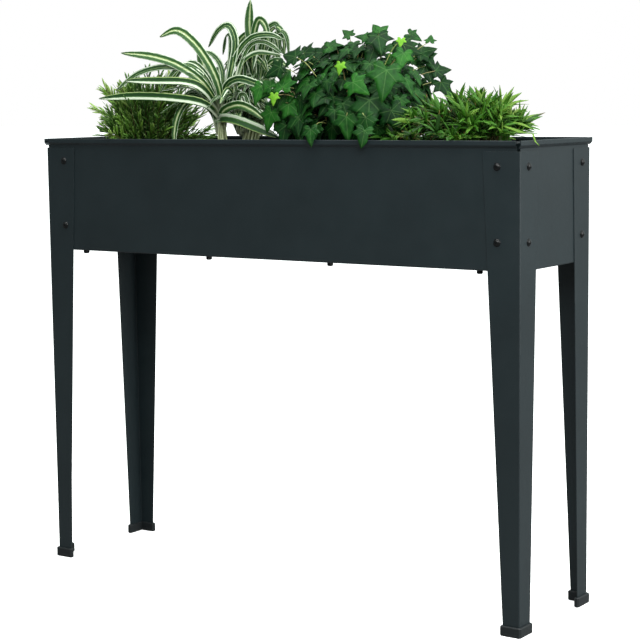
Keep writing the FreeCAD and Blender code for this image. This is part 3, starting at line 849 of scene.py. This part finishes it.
def bush_line(rng, plant, heading, away, ring, held_back, height, bend, swing, lean=0.0):
    """The line of one shoot.  away is near 0 for the first and 1 for the last, ring is the radius
    of all the stems together, held_back is the share of the reach that is missing, bend is where
    the shoulder is as shares of reach and height, and swing is the play of the tip in degrees."""
    root = on_compost(plant) + ring * away * outward(heading)
    reach = (BUSH_REACH - SIDE_LOSS * abs(math.sin(math.radians(heading)))) * away * (1 - held_back)
    shoulder = root + outward(heading) * reach * bend[0] + upward(height * bend[1])
    tip = root + outward(heading + between(rng, -swing, swing)) * reach + Vector((lean, 0, height))
    return smooth_through([root, shoulder, tip], 5)


print("a bush may reach", BUSH_REACH, "m along the trough")

# %% [markdown]
# The bush is a mound, lower and shorter towards the left, where the spider plant's long straps
# pass over it.  A few leading shoots stand out of it, because a perfectly round bush looks clipped.

# %% The whole needle bush
NEEDLE_SHOOTS = 136
# Tips of the leading shoots, as above_rim takes them.
LEADING_TIPS = (
    (-8.6, -3.5, 5.2), (-8.4, 1, 7), (-5, -5, 8.6), (-9.4, 0, 3.5), (7.5, -2, 10.5), (1, -7.5, 8.8),
    (1.7, -13.5, 0.2), (5.5, 2, 11.5),
)


def needle_bush():
    rng = random.Random("needle bush")
    leaves = LeafPile("needle_bush_leaves", "needle_bush")
    stems = LeafPile("needle_bush_stems", "needle_bush")
    for heading, away in spiral(NEEDLE_SHOOTS):
        to_left = max(0, -rightness(heading))
        height = RIM - stem_foot["needle_bush"] + 0.112 - 0.100 * away**2.2 - 0.014 * to_left * away
        height += between(rng, -0.032, 0.014)
        path = bush_line(rng, "needle_bush", heading, away, 0.024, 0.42 * to_left, height, (0.30, 0.55), 16)
        tone = 0.02 + 0.42 * away * rng.random() + 0.34 * rng.random() ** 2
        feather_shoot(leaves, stems, rng, path, tone, 16, between(rng, 0.023, 0.034), 0.0034)
    for x, y, z in LEADING_TIPS:
        tip, root = above_rim("needle_bush", x, y, z), on_compost("needle_bush", x * 0.15, y * 0.1)
        path = smooth_through([root, root.lerp(tip, 0.6) + upward(0.028), tip], 6)
        feather_shoot(leaves, stems, rng, path, 0.75, 18, 0.030, 0.0036)
    piece = leaves.finish(needle_green, 0.0003)
    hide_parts("needle_bush_foliage")
    stems.finish(wiry_wood)


needle_bush()

# %% [markdown]
# ## The spider plant
#
# The striped straps are what the eye goes to first.  Their stripes differ: some straps have white
# margins and a fine pale line down the middle, some a broad white band on one side, and some a
# pale middle.  The tone of a strap picks one of these three colour ramps, which run across it.
# The straps grow from two crowns: one in front that throws its leaves wide to the left, and a
# taller one behind that stands up and nods to the right.

# %% Strap finish
strap = leaf_finish("striped_strap", 0.35)
along_cells = strap.stretch(strap.uv, (3.0, 22.0, 1.0))
waver = strap.spread(strap.noise(1.0, 3, along_cells), 0.25, 0.75, -0.04, 0.04)
wavering = strap.sums("ADD", strap.across, waver)
WHITE, PALE, LEAF, DEEP = shade(200, 212, 188), shade(178, 194, 130), shade(54, 102, 36), shade(24, 62, 22)
white_edged = strap.bands(wavering, [
    (0.0, LEAF), (0.05, WHITE), (0.12, WHITE), (0.17, LEAF), (0.26, DEEP), (0.43, DEEP), (0.48, LEAF),
    (0.50, PALE), (0.53, LEAF), (0.60, DEEP), (0.78, DEEP), (0.85, LEAF), (0.89, WHITE), (0.95, WHITE),
    (1.0, LEAF),
])
half_white = strap.bands(wavering, [
    (0.0, DEEP), (0.07, PALE), (0.13, LEAF), (0.24, DEEP), (0.44, DEEP), (0.58, LEAF), (0.67, WHITE),
    (0.90, WHITE), (0.95, LEAF), (1.0, DEEP),
])
pale_middle = strap.bands(wavering, [
    (0.0, WHITE), (0.04, LEAF), (0.16, DEEP), (0.32, LEAF), (0.42, PALE), (0.47, WHITE), (0.53, PALE),
    (0.60, LEAF), (0.76, DEEP), (0.93, LEAF), (0.97, WHITE), (1.0, WHITE),
])
striped = strap.blend(strap.spread(strap.tone, 0.30, 0.36), white_edged, half_white)
striped = strap.blend(strap.spread(strap.tone, 0.60, 0.66), striped, pale_middle)
SHADED_FROM, SHADED_TO, SHADED_SHARE = -0.015, 0.035, 0.30  # painted shade: straps further back are darkened as if shaded by the front crown
# Painted shade: the further back a point of a strap lies, the more of the dark green DEEP is mixed into it.
shaded = strap.spread(strap.axes(strap.place)["Y"], SHADED_FROM, SHADED_TO, 0.0, SHADED_SHARE)
striped = strap.blend(shaded, striped, DEEP)
neck_white = strap.spread(strap.along, 0.0, 0.14, 0.7, 0.0)
strap_colour = strap.blend(neck_white, striped, shade(214, 222, 190))
strap.gloss(0.01, 0.40, 0.52)
strap.set("Normal", strap.bump(ribs(strap, 4.0), 0.0004, 0.5))
let_light_through(strap, strap_colour, 0.2)

# %% [markdown]
# The leading straps give the plant its sweep, so each has its own line.  They rise steeply from a
# crown and bend over in their outer half, as a long strap does under its own weight.

# %% The leading straps
FRONT_CROWN, BACK_CROWN = (-2.0, -2.2), (2.8, 3.0)  # in centimetres from the middle of the pot
DEPTH_CURVE = 0.6  # below 1, a strap runs towards the back mostly near its root
# Each strap: its width in millimetres, its tone, the way its face leans to the front (0 is
# level, 1 is upright), how far its tip lies towards the back, and its points as centimetres from
# the middle of the pot and above the rim.
FRONT_STRAPS = (
    (16, 0.5, 0.9, -8, ((-2, 3.5), (-2.8, 6.2), (-8.4, 7.3), (-16.9, 7.7), (-24.0, 7.3))),
    (15, 0.5, 0.8, -7.5, ((-2, 4.5), (-2.8, 8.5), (-5.6, 10.1), (-12.4, 10.4), (-18.0, 10.5))),
    (16, 0.9, 0.8, -7.5, ((-2, 5), (-3.2, 9.8), (-7.7, 13.1), (-12.5, 14.7), (-18.8, 15.5))),
    (17, 1.0, 0.8, -4, ((-1.5, 4), (-1, 9), (-2.4, 13), (-5.5, 17.1), (-8.9, 19.3), (-12.5, 18.3))),
    (14, 0.1, 0.6, -7.5, ((-2, 5), (-3.8, 11.2), (-9.6, 12.8), (-15.6, 11.8), (-20.2, 8.8))),
    (22, 1.0, 1.0, 1, ((-2, 4.5), (-4, 8.5), (-6, 12.5), (-7.5, 17))),
    (15, 0.2, 0.7, 2, ((-1.5, 5), (0, 12), (0.8, 17), (-0.8, 20), (-3.5, 19.3), (-6, 16.4))),
    (11, 0.3, 0.6, 3, ((-1, 7), (-0.5, 14), (-0.8, 18), (-2.2, 18.2), (-3.5, 15))),
    (12, 0.2, 0.8, 2, ((-1.5, 5), (-0.3, 11), (1.2, 15), (4.2, 17.8), (8, 18.2), (11, 17.2))),
    (15, 0.3, 0.9, -2, ((-1.5, 6), (0, 9.2), (3, 10.5), (6.8, 9.8), (13.3, 7.6))),
    (13, 0.9, 0.7, 0, ((-1.5, 4.5), (0.5, 8), (3, 9.6), (6, 9.7))),
    (16, 1.0, 0.9, -3, ((-2, 3), (-0.3, 4.9), (3.5, 5.9), (7, 5.0), (10, 3.3))),
    (18, 0.4, 0.9, -5, ((-2, 2.5), (0, 3.6), (4, 3.3), (9.3, 1.9), (14.5, 0.3))),
    (13, 0.9, 0.8, -1, ((-2, 4), (-3.5, 6.2), (-6, 7.5), (-9.5, 7.8))),
    (14, 0.8, 0.8, -4, ((-3, 4), (-6, 7.2), (-8.2, 6.0), (-9.6, 3), (-9.8, -1.5))),
    (11, 0.3, 0.6, -6, ((-2, 5), (-2.9, 10.4), (-5.8, 13.1), (-8.5, 11.9), (-11, 8.2))),
    (11, 0.2, 0.5, 4, ((-1.5, 6), (-3, 12), (-6, 15), (-10, 15.8))),
    (12, 0.4, 0.6, 4, ((-1, 5), (0, 10), (1, 14), (3.5, 17.5))),
    (9, 0.1, 0.8, -2, ((1.5, 4.5), (3, 7.4), (4.6, 7.6), (6, 5.6), (9.5, 4))),
    (10, 0.4, 0.8, 2, ((1, 8), (1.8, 12.5), (3, 14.2), (5.6, 15.2), (10.4, 14.6))),
    (9, 0.1, 0.7, 3, ((1, 8), (2.4, 14), (4, 16.6), (6.2, 17), (8, 16.2), (9.6, 15))),
)
BACK_STRAPS = (
    (18, 0.7, 0.9, 0, ((2.5, 6), (1.6, 14), (1, 20), (1.3, 24.7))),
    (14, 0.7, 0.8, 0, ((2, 5), (1.4, 12), (1.8, 17.5), (3, 21), (4.6, 20), (5.4, 16.6))),
    (11, 0.2, 0.7, 1, ((2.5, 6), (2.6, 13), (4, 18.6), (6.2, 20.3), (7, 18.6), (7, 15))),
    (10, 0.7, 0.6, 1, ((2.5, 5), (3, 12), (4.6, 18), (6.6, 19.8), (8, 18), (8, 14.6))),
    (9, 0.2, 0.6, 1, ((2.5, 5), (3.6, 12), (5.6, 17.6), (7.6, 18.9), (8.7, 17.6), (9, 14.4))),
    (9, 0.7, 0.6, 2, ((2.5, 5), (3, 11), (4, 16), (5.2, 18.4), (6, 16.8), (6, 13.6))),
    (12, 0.8, 0.8, -2, ((2, 7), (-0.5, 12.5), (1, 14.8), (4, 14), (6.5, 11.4))),
    (12, 0.7, 0.7, 0, ((2, 6), (-1, 12), (-2.2, 15.6), (-0.2, 18.4), (3.6, 18.8))),
    (11, 0.9, 0.7, 0, ((3, 6), (4.4, 12), (7, 13.8), (9.6, 12.4))),
    (12, 0.2, 0.8, -1, ((2, 5), (0.5, 11), (1, 16), (2.6, 18.6))),
)


def set_strap(leaves, width, tone, lean, tip_back, line, root_y):
    """One leading strap.  It starts at root_y and its tip lies tip_back centimetres further back."""
    shares = [(i / (len(line) - 1)) ** DEPTH_CURVE for i in range(len(line))]
    points = [above_rim("spider_plant", x, root_y + tip_back * t, z) for (x, z), t in zip(line, shares)]
    face = Vector((0.25, -lean, 1.05 - lean)).normalized()
    blade(leaves, smooth_through(points, 6), width / 1000, strap_outline, tone, face, fold=18, columns=7)


print("leading straps:", len(FRONT_STRAPS), "in front and", len(BACK_STRAPS), "behind")

# %% [markdown]
# Behind the leading straps the plant is a thick tuft.  Random straps rise from the crowns, with
# short narrow ones low down between them, where the youngest leaves of a real plant stand.

# %% The rest of the spider plant
# Each row: how many straps, their crown, and the ranges of their heading in degrees, reach, height
# and width.
FILLING = (
    (16, FRONT_CROWN, (40, 230), (0.05, 0.11), (0.05, 0.11), (0.008, 0.012)),
    (44, BACK_CROWN, (-90, 240), (0.02, 0.07), (0.06, 0.16), (0.008, 0.012)),
    (52, (0.6, 0.0), (-120, 100), (0.03, 0.085), (0.02, 0.09), (0.006, 0.010)),
    (30, (1.2, 0.8), (0, 360), (0.008, 0.030), (0.02, 0.06), (0.006, 0.010)),
)


def filling_strap(leaves, rng, crown, heading, reach, height, width):
    """A random strap that rises from a crown and bends over."""
    way = outward(heading)
    root = above_rim("spider_plant", *crown, between(rng, 0.0, 4.0)) + way * 0.006
    top = root + way * reach * 0.55 + upward(height)
    tip = root + outward(heading + between(rng, -15, 15)) * reach + upward(height * between(rng, 0.45, 0.95))
    rise = root.lerp(top, 0.5) + upward(height * 0.18) - way * reach * 0.12
    face = (Vector((0.2, -0.5, 0.6)) - way * 0.3 + somewhere(rng) * 0.4).normalized()
    path = smooth_through([root, rise, top, tip], 5)
    blade(leaves, path, width, strap_outline, rng.random() * 0.8, face, fold=between(rng, 14, 28), columns=7)


def spider_plant():
    rng = random.Random("spider plant")
    leaves = LeafPile("spider_plant_leaves", "spider_plant")
    for straps, crown in ((FRONT_STRAPS, FRONT_CROWN), (BACK_STRAPS, BACK_CROWN)):
        for strap_sizes in straps:
            set_strap(leaves, *strap_sizes, crown[1])
    for count, crown, *ranges in FILLING:
        for _ in range(count):
            filling_strap(leaves, rng, crown, *[between(rng, *span) for span in ranges])
    piece = leaves.finish(strap, 0.0005)
    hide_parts("spider_plant_foliage")


spider_plant()

# %% [markdown]
# The necks of both crowns are bundles of pale sheaths that run down into the compost.  They are
# tubes rather than blades, because the sheaths wrap round one another there.

# %% Necks of the spider plant
pale_neck = leaf_finish("pale_neck", 0.35)
sheath = pale_neck.bands(pale_neck.across, [
    (0.0, shade(196, 206, 164)),
    (0.3, shade(92, 118, 66)),
    (0.6, shade(206, 214, 178)),
    (1.0, shade(76, 104, 54)),
])
pale_neck.set("Base Color", pale_neck.blend(pale_neck.noise(0.006, 2), sheath, shade(140, 152, 96)))
pale_neck.gloss(0.003, 0.42, 0.55)
pale_neck.grain(0.0012, 0.0003, 0.4)


# Each row: a crown, how far out the foot of its neck stands as a share of the crown's place, how
# many centimetres the neck rises above the rim, its number of sheaths, and how far they spread.
NECKS = ((FRONT_CROWN, 0.8, 5.2, 9, 0.003), (BACK_CROWN, 0.15, 8.0, 22, 0.012))


def spider_necks():
    rng = random.Random("necks")
    stems = LeafPile("spider_plant_stems", "spider_plant")
    for (x, y), foot_share, top, count, spread in NECKS:
        for heading, away in spiral(count):
            ring = outward(heading) * away
            foot = on_compost("spider_plant", x * foot_share, y * foot_share) + ring * (0.003 + 0.6 * spread)
            head = above_rim("spider_plant", x, y, top - between(rng, 0.0, 3.0)) + ring * spread
            path = smooth_through([foot, foot.lerp(head, 0.6) + ring * 0.004, head], 4)
            stems.tube(path, 0.0026, 0.0016, rng.random(), 6)
    stems.finish(pale_neck)


spider_necks()

# %% [markdown]
# ## The ivy
#
# Ivy leaves are flat stars with five lobes, held out on thin stalks so that each faces the light.
# The outline is drawn once, for one half, and mirrored.  A star can't be made from a strip, so the
# leaf is a few rings between its middle and its outline, dished and drooping towards its points.
# The veins belong to the finish: they fan out from the joint with the stalk, so the distance to a
# few rays in the UV map draws them.

# %% Ivy finish
VEIN_ANGLES = (0, 47, -47, 108, -108)
LEAF_SPAN = 1.8  # size of the UV square in leaf lengths
JOINT_UP = 0.3  # where the joint is in the UV square
VEIN_INSIDE, VEIN_OUTSIDE, VEIN_SHARE = 0.004, 0.026, 0.16  # half widths, and how much shows
FAR_OFF = 9.0  # leaf lengths, further than any vein

ivy_green = leaf_finish("ivy_leaf", 0.12)


def product(first, second):
    return ivy_green.sums("MULTIPLY", first, second)


joint_x = product(ivy_green.sums("SUBTRACT", ivy_green.across, 0.5), LEAF_SPAN)
joint_y = product(ivy_green.sums("SUBTRACT", ivy_green.along, JOINT_UP), LEAF_SPAN)
nearest = FAR_OFF
for angle in VEIN_ANGLES:
    vx, vy = math.sin(math.radians(angle)), math.cos(math.radians(angle))
    ahead = ivy_green.sums("ADD", product(joint_x, vx), product(joint_y, vy))
    across = ivy_green.sums("SUBTRACT", product(joint_x, vy), product(joint_y, vx))
    behind = ivy_green.sums("LESS_THAN", ahead, 0.0)
    away = ivy_green.sums("ADD", ivy_green.sums("ABSOLUTE", across), behind)
    nearest = ivy_green.sums("MINIMUM", nearest, away)
vein = ivy_green.spread(nearest, VEIN_INSIDE, VEIN_OUTSIDE, 1.0, 0.0)

mottle = ivy_green.spread(ivy_green.noise(0.012, 4), 0.35, 0.68)
ivy_dark = ivy_green.blend(mottle, shade(4, 32, 8), shade(12, 54, 14))
ivy_light = ivy_green.blend(mottle, shade(20, 72, 18), shade(40, 98, 28))
ivy_young = ivy_green.blend(mottle, shade(84, 140, 30), shade(116, 168, 50))
ivy_body = ivy_green.blend(ivy_green.spread(ivy_green.tone, 0.1, 0.65), ivy_dark, ivy_light)
ivy_body = ivy_green.blend(ivy_green.spread(ivy_green.tone, 0.75, 0.95), ivy_body, ivy_young)
ivy_colour = ivy_green.blend(product(vein, VEIN_SHARE), ivy_body, shade(112, 152, 88))
ivy_green.gloss(0.01, 0.42, 0.60, detail=3)
quilted = ivy_green.sums("ADD", vein, ivy_green.noise(0.004, 3))
ivy_green.set("Normal", ivy_green.bump(quilted, 0.0006, 0.5))
let_light_through(ivy_green, ivy_colour, 0.16)

ivy_twig = leaf_finish("ivy_twig", 0.3)
ivy_twig.set("Base Color", ivy_twig.blend(ivy_twig.tone, shade(104, 80, 54), shade(136, 150, 84)))
ivy_twig.gloss(0.002, 0.45, 0.6)
ivy_twig.grain(0.0015, 0.0002, 0.5)

# %% [markdown]
# No two ivy leaves are alike, yet they share one outline.  So each leaf gets its own cup, wave and
# stretch, and droops towards its tip, by moving the points of the same rings.

# %% One ivy leaf
# One half of the outline, from the joint round the lobes to the tip, in leaf lengths.
IVY_HALF = (
    (0.05, -0.12), (0.17, -0.26), (0.32, -0.29), (0.46, -0.20), (0.42, -0.08), (0.38, 0.02), (0.50, 0.10),
    (0.67, 0.26), (0.52, 0.30), (0.36, 0.35), (0.29, 0.44), (0.24, 0.60), (0.14, 0.80), (0.05, 0.97),
)
IVY_OUTLINE = [(0.0, -0.02), *IVY_HALF, (0.0, 1.04), *[(-x, y) for x, y in IVY_HALF[::-1]]]
LEAF_RINGS = (0.36, 0.70, 1.0)
HEART_Y = 0.16  # the middle of the rings, in leaf lengths from the joint


def ivy_leaf(pile, rng, joint, tip_way, face_way, size, tone, droop=0.35):
    """A star leaf at its joint, with its tip along tip_way and its upper face towards face_way."""
    face_way = face_way.normalized()
    tip_way = (tip_way - face_way * tip_way.dot(face_way)).normalized()
    side = tip_way.cross(face_way)
    cup = between(rng, 0.0, 0.30)
    wave, phase = between(rng, 0.01, 0.035), between(rng, 0, 2 * math.pi)
    stretch = between(rng, 0.88, 1.12)

    def place(x, y):
        height = cup * abs(x) * 0.5 - droop * 0.5 * y * abs(y) - 0.25 * x * x
        height += wave * math.sin(5 * math.atan2(x, y + 0.2) + phase) * math.hypot(x, y)
        return joint + size * (side * x * stretch + tip_way * y + face_way * height)

    first = len(pile.points)
    corners = len(IVY_OUTLINE)
    spots = [(0.0, HEART_Y)]
    for ring in LEAF_RINGS:
        spots += [(x * ring, HEART_Y + (y - HEART_Y) * ring) for x, y in IVY_OUTLINE]
    for x, y in spots:
        pile.points.append(place(x, y))
        pile.where.append((0.5 + x / LEAF_SPAN, JOINT_UP + y / LEAF_SPAN))
        pile.tones.append(tone)
    for i in range(corners):
        j = (i + 1) % corners
        pile.faces.append((first, first + 1 + j, first + 1 + i))
        for ring in range(len(LEAF_RINGS) - 1):
            a = first + 1 + ring * corners
            pile.faces.append((a + i, a + j, a + corners + j, a + corners + i))


print("an ivy leaf has", 1 + len(LEAF_RINGS) * len(IVY_OUTLINE), "points")

# %% [markdown]
# The largest leaves are set one by one, where they give the plant its outline: a dark left
# shoulder, a peak, a big leaf in the middle of the front, and a few tips over the rim.  The rest
# fill the mass behind them.  A leaf faces up and outward and hangs its tip, which is how ivy
# shows itself from every side, and its stalk runs back towards the heart of the plant.

# %% The leading ivy leaves
# Each leaf: the place of its middle as above_rim takes it, its length in millimetres, its tone,
# and the heading of its tip, seen from the front, where 0 points right and -90 hangs straight down.
LEADING_IVY = (
    (-5.4, -9, 14.2, 50, 0, 150), (-10, 3, 15, 48, 0.1, 10), (-8.8, -9, 11.7, 46, 0, -150),
    (-6.8, -9, 10.0, 54, 0.72, 95), (-7, -2, 12.2, 42, 0.25, -60), (-7.8, -11, 6.9, 25, 1, -90),
    (-8.8, -8, 3.6, 50, 0.5, -115), (-4.9, -9, 5.2, 54, 0.5, -30), (-3.4, -10, 2.2, 66, 0.15, -75),
    (-6, 0, 14, 54, 0, -140), (-2.3, 0, 15.7, 46, 0.35, 25), (-0.4, 1, 18, 28, 0.3, 130),
    (2.9, 1, 17.4, 34, 0.3, 170), (5.7, 1, 18.5, 34, 0.4, 110), (7.5, 0, 18.4, 30, 0.5, 60),
    (8.7, -3, 16.2, 50, 0.1, -70), (13, -3, 16.1, 20, 1, -90), (12.5, 2, 17.2, 32, 0.2, 5),
    (12.2, 0, 14.8, 54, 0.1, -50), (14.2, -10, 9.7, 72, 0.35, -92), (15, -6, 13.2, 46, 0.62, -100),
    (9, -10, 8.8, 50, 0.68, -25), (0.4, -8, 8.8, 54, 0.5, -110), (5.9, -11, 11.9, 25, 1, -95),
    (7.2, -3, 14.2, 52, 0.05, -100), (1.9, -2, 13, 50, 0.1, -80), (11, -10, 4.6, 82, 0.15, -85),
    (7.2, -11, 2.4, 58, 0.3, -80), (2.2, -9, 6, 54, 0.1, -120), (7.2, 9, 10.5, 54, 0.1, -60),
    (11.1, 9, 13.3, 50, 0.1, -40), (11.6, 9, 16.9, 26, 0.4, 80), (13.8, 9, 11.5, 38, 0.1, 30),
    (12, -13.2, 0.6, 40, 0.25, -95), (1.4, -13.2, 0.8, 40, 0.3, -80), (-12.4, -9, 8.0, 46, 0.6, -100),
    (-10.5, -9, 9.4, 40, 0.5, 140), (5.6, -9, 5, 46, 0.2, -60), (15, -8, 3.5, 56, 0.1, -50),
    (-11.5, -3, 2.4, 50, 0.1, -100), (9.5, -7, 11.6, 44, 0.2, -70), (-12, 0, 8, 50, 0.1, -130),
    (10.4, 9, 8.3, 46, 0.15, -40), (12, -12.6, 2.6, 44, 0.2, -70), (11.4, 8.5, 11.2, 54, 0.1, -60),
    (11, 3, 7.6, 56, 0.2, -90), (13, 3, 5.8, 56, 0.1, -80), (14.5, 9, 8.5, 48, 0.1, -30),
    (11.3, 3, 14.8, 46, 0.05, 20), (8.8, 3, 10.2, 54, 0, -90), (9.4, 9, 6.7, 54, 0.05, -60),
    (5.9, 8.5, 9.5, 54, 0.1, -70), (9.1, 8.5, 13.4, 50, 0.25, -20), (10.7, 9, 14.8, 44, 0.1, 40),
    (10.2, 0, 12.8, 44, 0.6, -60),
    (-10.2, -9, 3.4, 48, 0.55, -105), (-9, -8, 6.2, 40, 0.3, -80), (-11.6, -7, 5, 42, 0.2, -125),
    (-7, -9, 1, 52, 0.15, -95), (-5.5, -9, 4.6, 48, 0.45, -60), (-12.6, -6, 8, 34, 0.5, -140),
)
LEAF_SCALE = 0.00074  # metres of middle rib for each millimetre of the whole leaf
HANGING_FROM = -13  # leaves further to the front hang outside
RANDOM_LEAVES, VINES = 440, 18
CROWN_REACH, CROWN_DEPTH, CROWN_RISE = 0.150, 0.105, 0.125  # of the joints, from the heart


def ivy_stalk(twigs, rng, joint, vine_end):
    """A thin stalk from the joint of a leaf back towards the heart of the plant."""
    path = smooth_through([vine_end, joint.lerp(vine_end, 0.5) + upward(0.006), joint], 3)
    twigs.tube(path, 0.0010, 0.0006, between(rng, 0.2, 1.0), 4)


def ivy():
    rng = random.Random("ivy")
    leaves, twigs = LeafPile("ivy_leaves", "ivy"), LeafPile("ivy_stems", "ivy")
    heart = above_rim("ivy", 1.5, 0.0, 4.5)
    for x, y, z, size, tone, turn in LEADING_IVY:
        size *= LEAF_SCALE
        centre = above_rim("ivy", x, y, z)
        tip = Vector((math.cos(math.radians(turn)), -0.25, math.sin(math.radians(turn))))
        face = Vector((0.25, -0.85, 0.35)) + (centre - heart).normalized() * 0.35 + somewhere(rng) * 0.18
        joint = centre - (tip - face * tip.dot(face) / face.length_squared).normalized() * size * 0.35
        first_point = len(leaves.points)
        ivy_leaf(leaves, rng, joint, tip, face, size, tone, between(rng, 0.1, 0.4))
        if y < HANGING_FROM:
            leaves.hang(first_point)
        ivy_stalk(twigs, rng, joint, joint.lerp(heart, 0.35))
    for k in range(RANDOM_LEAVES):
        turn, rise = between(rng, 0, 360), math.asin(between(rng, -0.35, 1.0))
        shell = between(rng, 0.45, 0.98)
        out = outward(turn) * math.cos(rise) + upward(math.sin(rise))
        joint = heart + Vector((out.x * CROWN_REACH, out.y * CROWN_DEPTH, out.z * CROWN_RISE)) * shell
        size = between(rng, 0.026, 0.041) * (1.1 - 0.25 * shell)
        tone = between(rng, 0.0, 0.38) * shell
        face = out + Vector((0, -0.25, 0.55)) + somewhere(rng) * 0.5
        tip = Vector((out.x, out.y, 0)) * 0.6 + somewhere(rng) * 0.5 - upward(0.9)
        ivy_leaf(leaves, rng, joint, tip, face, size, tone, between(rng, 0.15, 0.5))
        if k % 3 == 0:
            ivy_stalk(twigs, rng, joint, joint.lerp(heart, 0.4))
    for heading, away in spiral(VINES):
        ring = outward(heading)
        root = on_compost("ivy") + ring * 0.022 * away
        end = heart + ring * 0.10 * away + upward(0.09 - 0.07 * away)
        path = smooth_through([root, root.lerp(end, 0.5) - ring * 0.01, end], 6)
        twigs.tube(path, 0.0022, 0.0010, rng.random() * 0.5, 5)
    piece = leaves.finish(ivy_green, 0.0005)
    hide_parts("ivy_foliage")
    twigs.finish(ivy_twig)


ivy()

# %% [markdown]
# ## The bamboo-leaved bush
#
# The last plant is the brightest: fans of narrow pointed leaves, five to eight on each twig, in a
# clear yellow-green.  The leaf is the same blade as before, flatter and wider, and its finish adds
# the fine lines that run along such leaves and a brown tip on a few of the older ones.

# %% Bamboo leaf finish
fresh = leaf_finish("bamboo_leaf", 0.3)
fresh_tone = fresh.bands(fresh.tone, [
    (0.0, shade(20, 54, 10)),
    (0.4, shade(54, 106, 20)),
    (0.75, shade(98, 134, 42)),
    (1.0, shade(148, 170, 92)),
])
fine_lines = ribs(fresh, 7.0)
lined = fresh.blend(fresh.sums("MULTIPLY", fine_lines, 0.25), fresh_tone, shade(48, 92, 26))
old_tip = fresh.sums("MULTIPLY", fresh.spread(fresh.along, 0.72, 1.0), fresh.spread(fresh.tone, 0.3, 0.02))
fresh_colour = fresh.blend(old_tip, lined, shade(110, 84, 40))
fresh.gloss(0.008, 0.42, 0.56)
fresh.set("Normal", fresh.bump(fine_lines, 0.0003, 0.4))
let_light_through(fresh, fresh_colour, 0.25)


# %% [markdown]
# The leaves of a fan spring from one point and spread round the end of the twig.  Each turns on
# from the one before by well over a third of a circle, so that they don't lie on each other.


# %% One fan of bamboo leaves
FAN_TURN = 2.4  # radians from one leaf to the next


def bamboo_fan(leaves, rng, spring, way, tone, count, length):
    """Leaves that spread from the end of a twig: one straight on and the rest around it."""
    first = between(rng, 0, 2 * math.pi)
    for j in range(count):
        around = Quaternion(way, first + j * FAN_TURN) @ way.orthogonal().normalized()
        opening = 0.15 if j == 0 else between(rng, 0.45, 1.35)
        out = (way + around * opening + upward(between(rng, -0.2, 0.15))).normalized()
        size = length * between(rng, 0.75, 1.15)
        tip = spring + out * size - upward(between(rng, 0.05, 0.22) * size)
        bend = spring.lerp(tip, 0.5) + upward(0.06 * size)
        face = about(rng, 0.15, -0.45, 0.8, 0.8)
        own = max(0, min(1, tone + between(rng, -0.22, 0.22)))
        path, width = smooth_through([spring, bend, tip], 4), size * between(rng, 0.14, 0.19)
        blade(leaves, path, width, lance_outline, own, face, fold=between(rng, 6, 20))


print("leaves of a fan turn on by", round(math.degrees(FAN_TURN)), "degrees")


# %% [markdown]
# Each twig carries three fans, one at its end and two smaller and darker ones further down.  The
# bush leans to the left and is held back at the right, where the end of the trough is near, and
# two long leaves hang over that end, at the corner.

# %% The whole bamboo bush
BAMBOO_TWIGS, FIRST_HEADING = 100, 20
# Each row: the point of the twig where a fan springs, how much darker it is than the tip, its
# leaves, and the range of their lengths.
FANS = ((10, 0.0, 8, (0.034, 0.046)), (8, 0.1, 5, (0.032, 0.044)), (6, 0.2, 4, (0.030, 0.040)))
# The two hanging leaves, as points for above_rim.
END_LEAVES = (
    ((9, -5.5, 2.2), (12.5, -7, 1.4), (15.5, -8.2, 0.5), (17.4, -8.8, -0.9)),
    ((9.5, -4, 2.6), (12, -4.6, 2.4), (14.4, -5.2, 1.6)),
)
END_LEAF_WIDTH = 0.0062


def bamboo_bush():
    rng = random.Random("bamboo bush")
    leaves = LeafPile("bamboo_bush_leaves", "bamboo_bush")
    stems = LeafPile("bamboo_bush_stems", "bamboo_bush")
    for heading, away in spiral(BAMBOO_TWIGS):
        heading += FIRST_HEADING
        to_right = max(0, rightness(heading))
        height = RIM - stem_foot["bamboo_bush"] + 0.048 - 0.048 * away**2.4 + 0.012 * away * to_right
        height += between(rng, -0.022, 0.012)
        path = bush_line(rng, "bamboo_bush", heading, away, 0.026, 0.34 * to_right, height, (0.32, 0.62), 14,
                         lean=-0.014 * away)
        stems.tube(path, 0.0015, 0.0006, rng.random(), 4)
        # Painted light: twigs reaching to the right, towards the big soft box, get a lighter tone, and those
        # reaching to the left a darker one.
        tone = 0.20 + 0.46 * rng.random() + 0.12 * away * rightness(heading)
        for spot, darker, count, lengths in FANS:
            end = min(spot + 1, len(path) - 1)
            way = (path[end] - path[end - 2]).normalized()
            bamboo_fan(leaves, rng, path[spot], way, tone - darker, count, between(rng, *lengths))
    over_the_end = len(leaves.points)
    for line in END_LEAVES:
        path = smooth_through([above_rim("bamboo_bush", *point) for point in line], 4)
        blade(leaves, path, END_LEAF_WIDTH, lance_outline, 0.75, Vector((0.2, -0.5, 0.8)), fold=10)
    leaves.hang(over_the_end)
    piece = leaves.finish(fresh, 0.0003)
    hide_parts("bamboo_bush_foliage")
    stems.finish(wiry_wood)


bamboo_bush()

# %% [markdown]
# ## Measure and finish
#
# The box of the CAD model and the box of everything the scene shows are printed side by side.
# The visual model must keep to the size of the CAD model.

# %% Print the sizes
low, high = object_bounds()
sizes = {"cad": [list(cad_low), list(cad_high)], "visual": [list(low), list(high)]}
for name, (a, b) in sizes.items():
    print(name, [round(v, 4) for v in a], [round(v, 4) for v in b])
